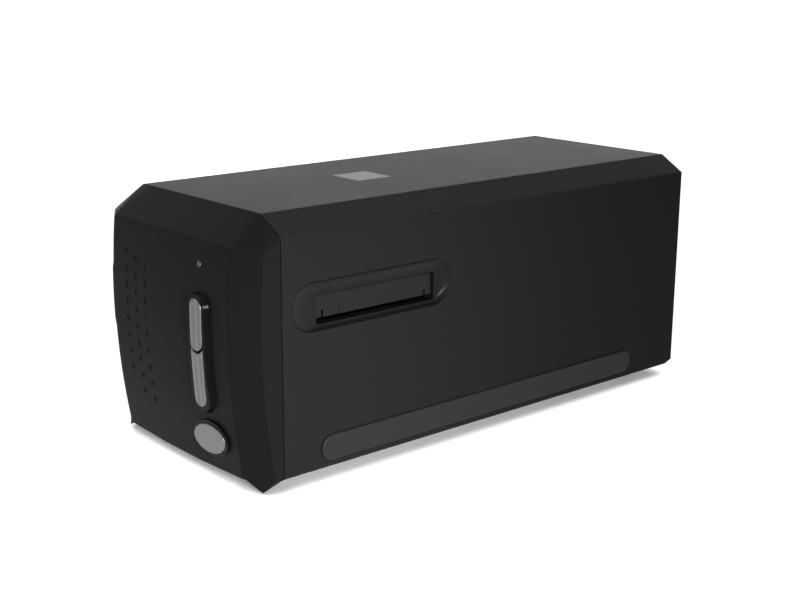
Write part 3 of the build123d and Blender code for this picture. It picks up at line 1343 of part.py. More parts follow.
with BuildPart() as lens_glasses:
    for glass_y in glass_ys:
        with BuildSketch(at_y(glass_y)):
            with Locations((0, optic_z)):
                Circle(LENS_GLASS_RADIUS)
        extrude(amount=LENS_GLASS_THICKNESS)
keep(lens_glasses, "lens_glasses")

sensor_board_height = optic_z + SENSOR_TOP_RISE - plate_top_z

with BuildPart() as sensor_board:
    with BuildSketch(at_y(carriage_rear_y + BOARD_THICKNESS)):
        with Locations((0, plate_top_z + sensor_board_height / 2)):
            Rectangle(2 * SENSOR_HALF_WIDTH, sensor_board_height)
    extrude(amount=BOARD_THICKNESS)
keep(sensor_board, "sensor_board")

with BuildPart() as line_sensor:
    with BuildSketch(at_y(carriage_rear_y)):
        with Locations((0, optic_z + WALL)):
            Rectangle(SENSOR_CHIP_WIDTH, SENSOR_CHIP_HEIGHT)
    extrude(amount=SENSOR_CHIP_THICKNESS)
keep(line_sensor, "line_sensor")

# ================================================================ focusing rack and pinion
rack_pitch_x = -carriage_half_width - RACK_BODY - TOOTH_DEDENDUM * MODULE
rack_root_x = -carriage_half_width - RACK_BODY
rack_tip_x = rack_pitch_x - TOOTH_ADDENDUM * MODULE
pinion_x = rack_pitch_x - PINION_TEETH * MODULE / 2
tooth_pitch = pi * MODULE
rack_length = (RACK_TEETH + RACK_TEETH % 2) * tooth_pitch
rack_root_half = TOOTH_ROOT_SHARE * tooth_pitch / 2
rack_tip_half = TOOTH_TIP_SHARE * tooth_pitch / 2

with BuildPart() as focus_rack:
    with BuildSketch(Plane.XY.offset(pinion_z)):
        with Locations((rack_root_x + RACK_BODY / 2, carriage_y)):
            Rectangle(RACK_BODY, rack_length)
        # The middle of the rack is always a gap, because the pinion's tooth stands there.
        for place in range(RACK_TEETH):
            tooth_y = carriage_y + (place - RACK_TEETH // 2 + 0.5) * tooth_pitch
            with Locations((rack_root_x, tooth_y)):
                Polygon(
                    (0, -rack_root_half),
                    (0, rack_root_half),
                    (rack_tip_x - rack_root_x, rack_tip_half),
                    (rack_tip_x - rack_root_x, -rack_tip_half),
                    align=None,
                )
    extrude(amount=RACK_HEIGHT)
keep(focus_rack, "focus_rack")

with BuildPart() as focus_pinion:
    with BuildSketch(Plane.XY.offset(pinion_z)):
        with Locations((pinion_x, carriage_y)):
            gear_face(PINION_TEETH, 0)
    extrude(amount=RACK_HEIGHT)
    with BuildSketch(Plane.XY.offset(chassis_top_z + FOCUS_MOTOR_HEIGHT / 2)):
        with Locations((pinion_x, carriage_y)):
            Circle(MOTOR_SHAFT_RADIUS)
    extrude(amount=PINION_RISE - FOCUS_MOTOR_HEIGHT / 2)
keep(focus_pinion, "focus_pinion")

with BuildPart() as focus_motor:
    with BuildSketch(Plane.XY.offset(chassis_top_z)):
        with Locations((pinion_x, carriage_y)):
            Circle(FOCUS_MOTOR_RADIUS)
    extrude(amount=FOCUS_MOTOR_HEIGHT)
    with BuildSketch(Plane.XY.offset(chassis_top_z + FOCUS_MOTOR_HEIGHT / 2 - MOVE_GAP)):
        with Locations((pinion_x, carriage_y)):
            Circle(MOTOR_SHAFT_RADIUS + SHAFT_GAP)
    extrude(amount=FOCUS_MOTOR_HEIGHT / 2 + MOVE_GAP, mode=Mode.SUBTRACT)
keep(focus_motor, "focus_motor")

# ================================================================ main board and sockets
with BuildPart() as main_board:
    with BuildSketch(Plane.XY.offset(main_board_z)):
        with Locations((0, (board_front_y + board_rear_y) / 2)):
            Rectangle(2 * MAIN_BOARD_HALF_WIDTH, board_rear_y - board_front_y)
    extrude(amount=BOARD_THICKNESS)
keep(main_board, "main_board")

socket_rear_y = rear_y - SOCKET_RECESS

with BuildPart() as usb_socket:
    with BuildSketch(at_y(socket_rear_y)):
        with Locations((USB_X, usb_z)):
            Rectangle(USB_WIDTH, USB_HEIGHT)
    extrude(amount=USB_LENGTH)
    with BuildSketch(at_y(socket_rear_y)):
        with Locations((USB_X, usb_z)):
            Rectangle(USB_MOUTH_WIDTH, USB_MOUTH_HEIGHT)
    extrude(amount=USB_MOUTH_DEPTH, mode=Mode.SUBTRACT)
    with BuildSketch(at_y(socket_rear_y - USB_TONGUE_RECESS)):
        with Locations((USB_X, usb_z)):
            Rectangle(USB_TONGUE_WIDTH, USB_TONGUE_HEIGHT)
    extrude(amount=USB_MOUTH_DEPTH)
keep(usb_socket, "usb_socket")

with BuildPart() as power_jack:
    with BuildSketch(at_y(socket_rear_y)):
        with Locations((JACK_X, jack_z)):
            Rectangle(JACK_WIDTH, JACK_HEIGHT)
    extrude(amount=JACK_LENGTH)
    with BuildSketch(at_y(socket_rear_y)):
        with Locations((JACK_X, jack_z)):
            Circle(JACK_BORE_RADIUS)
            Circle(JACK_PIN_RADIUS, mode=Mode.SUBTRACT)
    extrude(amount=JACK_BORE_DEPTH, mode=Mode.SUBTRACT)
keep(power_jack, "power_jack")

plug_x, plug_gap, *plug_size = REAR_PLUG
chip_blocks = [(x, board_front_y + gap, *size) for x, gap, *size in CHIPS]
chip_blocks.append((plug_x, board_rear_y - plug_gap, *plug_size))

with BuildPart() as board_parts:
    for chip_x, chip_y, chip_width, chip_depth, chip_height in chip_blocks:
        with BuildSketch(Plane.XY.offset(board_top_z)):
            with Locations((chip_x, chip_y)):
                Rectangle(chip_width, chip_depth)
        extrude(amount=chip_height)
    with BuildSketch(Plane.XY.offset(board_top_z)):
        with Locations(*[(x, board_rear_y - gap) for x, gap in CAPACITORS]):
            Circle(CAPACITOR_RADIUS)
    extrude(amount=CAPACITOR_HEIGHT)
keep(board_parts, "board_parts")
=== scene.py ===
"""Desktop film scanner: finishes, detailed pieces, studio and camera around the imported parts.

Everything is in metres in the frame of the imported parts: X to the right seen from the front,
Y to the rear, Z up, with the origin on the table under the middle of the scanner.
"""
from __future__ import annotations

import json
import logging
from dataclasses import dataclass
from enum import Enum
from math import cos, exp, pi, radians, sin, sqrt
from typing import Any, Callable, Iterable

import bmesh
import bpy
from mathutils import Matrix, Vector

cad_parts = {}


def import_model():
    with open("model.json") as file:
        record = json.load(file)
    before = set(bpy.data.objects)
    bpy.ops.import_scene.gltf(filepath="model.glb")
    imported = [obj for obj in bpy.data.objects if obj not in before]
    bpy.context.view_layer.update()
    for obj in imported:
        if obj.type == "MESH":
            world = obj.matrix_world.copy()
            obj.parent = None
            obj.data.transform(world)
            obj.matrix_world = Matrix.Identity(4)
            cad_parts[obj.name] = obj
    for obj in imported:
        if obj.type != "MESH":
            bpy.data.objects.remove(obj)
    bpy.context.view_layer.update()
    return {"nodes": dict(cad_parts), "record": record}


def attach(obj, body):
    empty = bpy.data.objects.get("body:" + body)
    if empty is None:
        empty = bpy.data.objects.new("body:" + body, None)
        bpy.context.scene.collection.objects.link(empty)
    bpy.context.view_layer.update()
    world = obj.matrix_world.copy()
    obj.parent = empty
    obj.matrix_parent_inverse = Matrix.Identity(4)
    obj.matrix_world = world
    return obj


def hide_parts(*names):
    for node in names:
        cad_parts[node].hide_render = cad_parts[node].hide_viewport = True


LOG = logging.getLogger("scanner")
MM = 0.001
PHOTO_WIDTH = 789
SENSOR_WIDTH = 36.0

Rgba = tuple[float, float, float, float]
Point = tuple[float, float, float]
Test = Callable[[Vector, Vector], bool]

# Sizes of the casing that several pieces share, in millimetres.
SIDE_X = 60.0
SHOULDER_Z = 111.0
TOP_Z = 119.0
CHAMFER_DROP = 8.0
CHAMFER_WIDTH = 13.6
BOW_RADIUS = 350.0
BOW_MIDDLE_Z = 70.0
BOW_FRONT_Y = -137.5


# ------------------------------------------------------------------ small tools
def linear(hex_colour: str) -> Rgba:
    """Turn an sRGB hex colour into linear RGBA.

    Args:
        hex_colour: Colour such as "#2b2b2c".

    Returns:
        Linear red, green and blue, with an alpha of 1.
    """
    values = [int(hex_colour[i : i + 2], 16) / 255 for i in (1, 3, 5)]
    straight = [v / 12.92 if v <= 0.04045 else ((v + 0.055) / 1.055) ** 2.4 for v in values]
    return (straight[0], straight[1], straight[2], 1.0)


def add_node(
    tree: bpy.types.NodeTree,
    kind: str,
    settings: dict[str, Any] | None = None,
    inputs: dict[str | int, Any] | None = None,
) -> bpy.types.Node:
    """Add a shader node, set its properties and fill or link its inputs.

    Args:
        tree: Node tree that takes the node.
        kind: Blender's type name of the node.
        settings: Properties to set on the node.
        inputs: Input name or number, with a value or an output socket to link.

    Returns:
        The new node.
    """
    node = tree.nodes.new(kind)
    for name, value in (settings or {}).items():
        setattr(node, name, value)
    for name, value in (inputs or {}).items():
        if isinstance(value, bpy.types.NodeSocket):
            tree.links.new(value, node.inputs[name])
        else:
            node.inputs[name].default_value = value
    return node


def deselect() -> None:
    """Deselect every object, so that an operator acts on the next piece alone."""
    if bpy.context.mode != "OBJECT":
        bpy.ops.object.mode_set(mode="OBJECT")
    bpy.ops.object.select_all(action="DESELECT")


def pick(piece: bpy.types.Object) -> None:
    """Make one object the only selected and active one.

    Args:
        piece: Object to select.
    """
    deselect()
    piece.select_set(True)
    bpy.context.view_layer.objects.active = piece


def apply_modifier(piece: bpy.types.Object, kind: str, **settings: Any) -> None:
    """Add a modifier, set it and apply it.

    Args:
        piece: Object that is changed.
        kind: Blender's type name of the modifier.
        **settings: Properties to set on the modifier.
    """
    pick(piece)
    modifier = piece.modifiers.new(kind.title(), kind)
    for name, value in settings.items():
        setattr(modifier, name, value)
    bpy.ops.object.modifier_apply(modifier=modifier.name)


def choose(piece: bpy.types.Object, test: Test, mode: str = "FACE") -> None:
    """Enter edit mode with the faces or edges selected that pass a test.

    Args:
        piece: Mesh object to edit.
        test: Takes an element's centre and its normal (for an edge, its direction).
        mode: FACE or EDGE.
    """
    pick(piece)
    bpy.ops.object.mode_set(mode="EDIT")
    bpy.ops.mesh.select_mode(type=mode)
    bpy.ops.mesh.select_all(action="DESELECT")
    bpy.ops.object.mode_set(mode="OBJECT")
    mesh = piece.data
    if mode == "FACE":
        for face in mesh.polygons:
            face.select = test(face.center, face.normal)
    else:
        for edge in mesh.edges:
            ends = [mesh.vertices[i].co for i in edge.vertices]
            edge.select = test((ends[0] + ends[1]) / 2, (ends[1] - ends[0]).normalized())
    bpy.ops.object.mode_set(mode="EDIT")


def smooth(piece: bpy.types.Object, angle: float = 32.0) -> bpy.types.Object:
    """Shade a piece smooth, with sharp edges above an angle.

    Args:
        piece: Mesh object to shade.
        angle: Angle in degrees above which an edge stays sharp.

    Returns:
        The same piece.
    """
    pick(piece)
    bpy.ops.object.shade_smooth_by_angle(angle=radians(angle))
    apply_modifier(piece, "WEIGHTED_NORMAL", keep_sharp=True, weight=60)
    return piece


def dress(piece: bpy.types.Object, slot: str, finishes: dict[str, bpy.types.Material]) -> None:
    """Give a piece the finish of one of the record's material slots.

    Args:
        piece: Mesh object to dress.
        slot: Material slot.
        finishes: Materials by slot name.
    """
    piece.data.materials.clear()
    piece.data.materials.append(finishes[slot])


def clean_copy(node: str, name: str) -> bpy.types.Object:
    """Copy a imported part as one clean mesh.

    Doubles are merged, flat faces are joined and the imported normals are dropped.

    Args:
        node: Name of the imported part.
        name: Name of the new piece.

    Returns:
        The new piece, at the origin.
    """
    piece = FRAME_NODES[node].copy()
    piece.data = piece.data.copy()
    piece.name = name
    piece.data.name = name
    piece.parent = None
    piece.matrix_world = Matrix.Identity(4)
    bpy.context.collection.objects.link(piece)
    pick(piece)
    bpy.ops.mesh.customdata_custom_splitnormals_clear()
    bpy.ops.object.mode_set(mode="EDIT")
    bpy.ops.mesh.select_all(action="SELECT")
    bpy.ops.mesh.remove_doubles(threshold=1e-6)
    bpy.ops.mesh.dissolve_limited(angle_limit=radians(0.6))
    bpy.ops.object.mode_set(mode="OBJECT")
    return piece


def round_edges(piece: bpy.types.Object, test: Test, width: float, segments: int = 3) -> None:
    """Round the edges that pass a test.

    Args:
        piece: Mesh object to edit.
        test: Takes an edge's middle and its direction.
        width: Width of the rounding in millimetres.
        segments: Number of faces across it.
    """
    choose(piece, test, "EDGE")
    bpy.ops.mesh.bevel(offset=width * MM, segments=segments, affect="EDGES", clamp_overlap=True)
    bpy.ops.object.mode_set(mode="OBJECT")


def soft_copy(node: str, name: str, width: float, segments: int = 3) -> bpy.types.Object:
    """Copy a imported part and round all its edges, as the mould leaves them.

    Args:
        node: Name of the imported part.
        name: Name of the new piece.
        width: Width of the rounding in millimetres.
        segments: Number of faces across the rounding.

    Returns:
        The new piece, smooth-shaded, at the origin.
    """
    piece = clean_copy(node, name)
    apply_modifier(
        piece,
        "BEVEL",
        width=width * MM,
        segments=segments,
        limit_method="ANGLE",
        angle_limit=radians(28),
        use_clamp_overlap=True,
        miter_outer="MITER_ARC",
    )
    return smooth(piece)


def bow_y(z: float, ahead: float = 0.0) -> float:
    """Work out where the bezel's bowed front lies at a height.

    Args:
        z: Height above the table, in millimetres.
        ahead: Distance ahead of the bezel, in millimetres.

    Returns:
        Y in millimetres.
    """
    sag = BOW_RADIUS - sqrt(BOW_RADIUS**2 - (z - BOW_MIDDLE_Z) ** 2)
    return BOW_FRONT_Y - ahead + sag


def on_chamfer(point: Vector) -> bool:
    """Tell whether a point lies on one of the casing's two long chamfers.

    Args:
        point: Point in metres.

    Returns:
        True on a chamfer.
    """
    across, height = abs(point.x) / MM, point.z / MM
    level = SHOULDER_Z + (SIDE_X - across) * CHAMFER_DROP / CHAMFER_WIDTH
    return 46 < across < 60.1 and abs(height - level) < 0.1


def new_mesh(name: str, points: list[Point], faces: list[tuple[int, ...]]) -> bpy.types.Object:
    """Make a mesh object from points and faces.

    Args:
        name: Name of the new piece.
        points: Points in millimetres.
        faces: Numbers of each face's points.

    Returns:
        The new piece, at the origin.
    """
    mesh = bpy.data.meshes.new(name)
    mesh.from_pydata([[value * MM for value in point] for point in points], [], faces)
    piece = bpy.data.objects.new(name, mesh)
    bpy.context.collection.objects.link(piece)
    return piece


def face_outwards(piece: bpy.types.Object) -> bpy.types.Object:
    """Turn a piece's normals outwards.

    Args:
        piece: Closed mesh object.

    Returns:
        The same piece.
    """
    pick(piece)
    bpy.ops.object.mode_set(mode="EDIT")
    bpy.ops.mesh.select_all(action="SELECT")
    bpy.ops.mesh.normals_make_consistent(inside=False)
    bpy.ops.object.mode_set(mode="OBJECT")
    return piece


def hull(name: str, points: list[Point]) -> bpy.types.Object:
    """Make the convex solid around some points.

    Args:
        name: Name of the new piece.
        points: Points in millimetres.

    Returns:
        The new piece.
    """
    piece = new_mesh(name, points, [])
    pick(piece)
    bpy.ops.object.mode_set(mode="EDIT")
    bpy.ops.mesh.select_all(action="SELECT")
    bpy.ops.mesh.convex_hull()
    bpy.ops.object.mode_set(mode="OBJECT")
    return face_outwards(piece)


def loft(name: str, rings: list[list[Point]], caps: bool = False) -> bpy.types.Object:
    """Join rings of points into one closed solid.

    Args:
        name: Name of the new piece.
        rings: Rings with the same number of points, in millimetres.
        caps: Close the first and the last ring; otherwise the last ring joins the first.

    Returns:
        The new piece.
    """
    count = len(rings[0])
    faces = []
    for ring in range(len(rings) - 1 if caps else len(rings)):
        here, there = ring * count, (ring + 1) % len(rings) * count
        for i in range(count):
            j = (i + 1) % count
            faces.append((here + i, here + j, there + j, there + i))
    if caps:
        faces.append(tuple(range(count)))
        faces.append(tuple(range((len(rings) - 1) * count, len(rings) * count)))
    return face_outwards(new_mesh(name, [point for ring in rings for point in ring], faces))


def take_away(piece: bpy.types.Object, cutter: bpy.types.Object) -> None:
    """Take one solid away from a piece and delete it.

    Args:
        piece: Mesh object that is cut.
        cutter: Solid to take away.
    """
    apply_modifier(piece, "BOOLEAN", object=cutter, operation="DIFFERENCE", solver="EXACT")
    bpy.data.objects.remove(cutter)


def cut(piece: bpy.types.Object, points: list[Point]) -> None:
    """Take the convex solid around some points away from a piece.

    Args:
        piece: Mesh object that is cut.
        points: Points in millimetres.
    """
    take_away(piece, hull("cutter", points))


def rounded_outline(
    centre: tuple[float, float], size: tuple[float, float], corner: float, x: float
) -> list[Point]:
    """Trace a rectangle with round corners, with the same number of points for every radius.

    Args:
        centre: Y and Z of its middle.
        size: Length along Y and height along Z.
        corner: Radius of the corners; half the height gives round ends.
        x: Where the outline lies across the scanner.

    Returns:
        Points in order around it.
    """
    half_y, half_z = size[0] / 2 - corner, size[1] / 2 - corner
    points = []
    for quarter, (sy, sz) in enumerate(((1, 1), (-1, 1), (-1, -1), (1, -1))):
        for step in range(13):
            angle = (quarter + step / 12) * pi / 2
            y = centre[0] + sy * half_y + corner * cos(angle)
            z = centre[1] + sz * half_z + corner * sin(angle)
            points.append((x, y, z))
    return points


def mirrored(side: int, points: Iterable[Point]) -> list[Point]:
    """Put points on the right side, where side is 1, or on the left, where it is -1."""
    return [(side * x, y, z) for x, y, z in points]


def slice_mesh(mesh: bmesh.types.BMesh, place: Point, normal: tuple[int, int, int]) -> None:
    """Cut a mesh's faces along a plane and keep both sides.

    Args:
        mesh: Mesh that is cut.
        place: Point on the plane, in millimetres.
        normal: Direction across the plane.
    """
    everything = mesh.verts[:] + mesh.edges[:] + mesh.faces[:]
    bmesh.ops.bisect_plane(
        mesh, geom=everything, dist=1e-7, plane_co=Vector(place) * MM, plane_no=Vector(normal)
    )


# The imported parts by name, filled once by main().
FRAME_NODES: dict[str, bpy.types.Object] = {}


# ------------------------------------------------------------------ finishes
class Grain(Enum):
    """Kinds of surface pattern."""

    SPARK = "spark-eroded mould grain"
    SATIN = "fine satin mould finish"
    BRUSHED = "straight brushed lines"
    ROUGH = "ground or matt rubber"
    POLISHED = "polished, with faint unevenness"


CLOUD_SCALE = 28.0  # patches of slightly duller plastic, about 36 mm across
BRUSH_STRETCH = 0.02  # brushed lines run 50 times as long as they are wide
DULL_SWING = (-0.015, 0.02)  # how far the roughness wanders from patch to patch


@dataclass(frozen=True)
class Finish:
    """One finish of the real object, built as a procedural material.

    The grain's size is in millimetres on the object. Where a real grain is too fine for the
    render, it is drawn as coarse as it needs to show.
    """

    slot: str
    colour: str
    roughness: float
    grain: Grain
    grain_size: float
    bump: float
    metallic: float = 0.0
    specular: float = 0.5
    transmission: float = 0.0
    coat: float = 0.0
    spread: float = 0.12
    brush_axis: int = 1

    def build(self) -> bpy.types.Material:
        """Make the material.

        Returns:
            A node material that reads Object coordinates.
        """
        material = bpy.data.materials.new(self.slot)
        material.use_nodes = True
        tree = material.node_tree
        shader = tree.nodes["Principled BSDF"]
        place = add_node(tree, "ShaderNodeTexCoord")
        scale = [1.0, 1.0, 1.0]
        if self.grain is Grain.BRUSHED:
            scale[self.brush_axis] = BRUSH_STRETCH
        mapping = add_node(
            tree, "ShaderNodeMapping", inputs={"Vector": place.outputs["Object"], "Scale": scale}
        )
        fine = add_node(
            tree,
            "ShaderNodeTexNoise",
            inputs={
                "Vector": mapping.outputs["Vector"],
                "Scale": 1 / (self.grain_size * MM),
                "Detail": 3.0,
                "Roughness": 0.55,
            },
        )
        cloud = add_node(
            tree,
            "ShaderNodeTexNoise",
            inputs={"Vector": place.outputs["Object"], "Scale": CLOUD_SCALE, "Detail": 4.0},
        )
        dark, light = self.shade(1 - self.spread), self.shade(1 + self.spread)
        tint = add_node(
            tree,
            "ShaderNodeMix",
            {"data_type": "RGBA"},
            {"Factor": fine.outputs["Fac"], 6: dark, 7: light},
        )
        tree.links.new(tint.outputs[2], shader.inputs["Base Color"])
        dull = add_node(
            tree,
            "ShaderNodeMapRange",
            inputs={
                "Value": cloud.outputs["Fac"],
                "From Min": 0.3,
                "From Max": 0.7,
                "To Min": max(0.02, self.roughness + DULL_SWING[0]),
                "To Max": min(1.0, self.roughness + DULL_SWING[1]),
            },
        )
        tree.links.new(dull.outputs["Result"], shader.inputs["Roughness"])
        relief = add_node(
            tree,
            "ShaderNodeBump",
            inputs={
                "Strength": self.bump,
                "Distance": self.grain_size * MM * 0.25,
                "Height": fine.outputs["Fac"],
            },
        )
        tree.links.new(relief.outputs["Normal"], shader.inputs["Normal"])
        shader.inputs["Metallic"].default_value = self.metallic
        shader.inputs["Specular IOR Level"].default_value = self.specular
        shader.inputs["Transmission Weight"].default_value = self.transmission
        shader.inputs["Coat Weight"].default_value = self.coat
        return material

    def shade(self, factor: float) -> Rgba:
        """Return the finish's linear colour, lightened or darkened by a factor."""
        red, green, blue, alpha = linear(self.colour)
        return (min(1.0, red * factor), min(1.0, green * factor), min(1.0, blue * factor), alpha)


# The spark grain of moulded ABS is really about 0.1 mm; it is drawn at 0.55 mm so that it shows.
FINISHES = (
    # ABS from a spark-eroded mould: an even charcoal whose grain breaks up the light.
    Finish("housing_plastic", "#272728", 0.36, Grain.SPARK, 0.55, 0.35, specular=0.03),
    # The same ABS, a shade darker, on the bezel.
    Finish("bezel_plastic", "#1f1f20", 0.36, Grain.SPARK, 0.55, 0.3, specular=0.03),
    # ABS from a finer, smoother mould: the hollow of the slot shines a little.
    Finish("surround_plastic", "#1f1f20", 0.28, Grain.SATIN, 0.4, 0.12, specular=0.08),
    # Satin ABS of the dust flaps.
    Finish("flap_plastic", "#242425", 0.36, Grain.SATIN, 0.4, 0.12, specular=0.1),
    # Polished black ABS round the buttons: nearly black, with clear reflections.
    Finish("gloss_black", "#0a0a0b", 0.2, Grain.POLISHED, 1.5, 0.04, specular=0.05),
    # Silver-lacquered ABS: metal flake under a satin lacquer, so a soft metallic sheen.
    Finish("silver_cap", "#717274", 0.33, Grain.SATIN, 0.3, 0.06, metallic=0.85, spread=0.05),
    # Smoked acrylic lens of the status light.
    Finish("light_lens", "#3c3c39", 0.15, Grain.POLISHED, 1.0, 0.05, transmission=0.3),
    # Moulded rubber of the side strips: lighter and duller than the casing.
    Finish("strip_rubber", "#2b2b2c", 0.45, Grain.SATIN, 0.5, 0.2, specular=0.14),
    # Matt rubber of the feet.
    Finish("foot_rubber", "#121212", 0.8, Grain.ROUGH, 0.5, 0.5, specular=0.3),
    # Ground rubber tyres of the rollers.
    Finish("roller_rubber", "#1b1b1b", 0.75, Grain.ROUGH, 0.3, 0.5, specular=0.3),
    # Brushed aluminium plate on the top, left bare.
    Finish(
        "label_metal", "#747474", 0.42, Grain.BRUSHED, 0.25, 0.25,
        metallic=0.9, spread=0.08, brush_axis=0,
    ),
    # Ground steel of shafts, pins, springs and screws.
    Finish("steel", "#a9abad", 0.3, Grain.BRUSHED, 0.2, 0.15, metallic=1.0, spread=0.06),
    # Zinc-plated sheet steel with faint rolling lines.
    Finish("chassis_metal", "#9fa2a5", 0.38, Grain.BRUSHED, 0.3, 0.2, metallic=1.0, spread=0.06),
    # Blackened aluminium, which keeps stray light out of the optics.
    Finish("blackened_metal", "#161616", 0.4, Grain.SATIN, 0.3, 0.15, metallic=0.4),
    # Black filled nylon of the working parts.
    Finish("black_parts", "#151515", 0.5, Grain.SATIN, 0.5, 0.25, specular=0.4),
    # Natural acetal of the gears: a creamy white.
    Finish("white_gear", "#d9d6cb", 0.4, Grain.SATIN, 0.4, 0.1, spread=0.03),
    # Turned brass of the pinions.
    Finish("brass_gear", "#c9a35a", 0.3, Grain.BRUSHED, 0.2, 0.15, metallic=1.0, spread=0.05),
    # Glass-epoxy board under green solder mask, with a thin gloss coat.
    Finish("circuit_board", "#1c5a33", 0.35, Grain.SATIN, 0.8, 0.1, coat=0.4),
    # Frosted glass of the lamp tube.
    Finish(
        "lamp_glass", "#f2f2ee", 0.35, Grain.POLISHED, 1.0, 0.05, transmission=0.4, spread=0.02
    ),
    # Coated optical glass.
    Finish(
        "lens_glass", "#dfe8ea", 0.03, Grain.POLISHED, 2.0, 0.0, transmission=0.95, spread=0.01
    ),
    # Front-silvered mirror.
    Finish("mirror_glass", "#eef0f0", 0.04, Grain.POLISHED, 2.0, 0.0, metallic=1.0, spread=0.01),
    # Opal acrylic of the diffuser.
    Finish("opal", "#ecebe4", 0.5, Grain.POLISHED, 1.5, 0.05, spread=0.02),
)


# ------------------------------------------------------------------ camera and studio
@dataclass(frozen=True)
class PhotoCamera:
    """Camera fitted to the photograph.

    Its place is in millimetres, its angles in radians and its focal length in pixels.
    """

    place: tuple[float, float, float] = (488.42, -427.57, 224.15)
    yaw: float = 0.86035
    pitch: float = 0.25503
    roll: float = 0.00451
    focal_pixels: float = 1333.3

    def build(self) -> bpy.types.Object:
        """Add the camera and make it the scene's camera.

        Returns:
            The camera object.
        """
        reach = cos(self.pitch)
        ahead = Vector((-sin(self.yaw) * reach, cos(self.yaw) * reach, -sin(self.pitch)))
        level = Vector((cos(self.yaw), sin(self.yaw), 0.0))
        upright = level.cross(ahead)
        right = level * cos(self.roll) + upright * sin(self.roll)
        up = upright * cos(self.roll) - level * sin(self.roll)
        deselect()
        bpy.ops.object.camera_add()
        camera = bpy.context.object
        camera.name = "photo_camera"
        camera.data.sensor_fit = "HORIZONTAL"
        camera.data.sensor_width = SENSOR_WIDTH
        camera.data.lens = self.focal_pixels / PHOTO_WIDTH * SENSOR_WIDTH
        camera.data.clip_start = 0.01
        turn = Matrix((right, up, -ahead)).transposed().to_4x4()
        camera.matrix_world = Matrix.Translation(Vector(self.place) * MM) @ turn
        bpy.context.scene.camera = camera
        return camera


@dataclass(frozen=True)
class Softbox:
    """A rectangular lamp that points at a spot.

    Sizes and places are in metres, the power in watts and the spread in degrees.
    """

    name: str
    place: tuple[float, float, float]
    target: tuple[float, float, float]
    width: float
    height: float
    power: float
    spread: float = 180.0

    def build(self) -> bpy.types.Object:
        """Add the lamp, turned towards its target.

        Returns:
            The lamp object.
        """
        deselect()
        bpy.ops.object.light_add(type="AREA", location=self.place)
        lamp = bpy.context.object
        lamp.name = self.name
        lamp.data.shape = "RECTANGLE"
        lamp.data.size = self.width
        lamp.data.size_y = self.height
        lamp.data.energy = self.power
        lamp.data.spread = radians(self.spread)
        way = Vector(self.target) - Vector(self.place)
        lamp.rotation_euler = way.to_track_quat("-Z", "Y").to_euler()
        return lamp


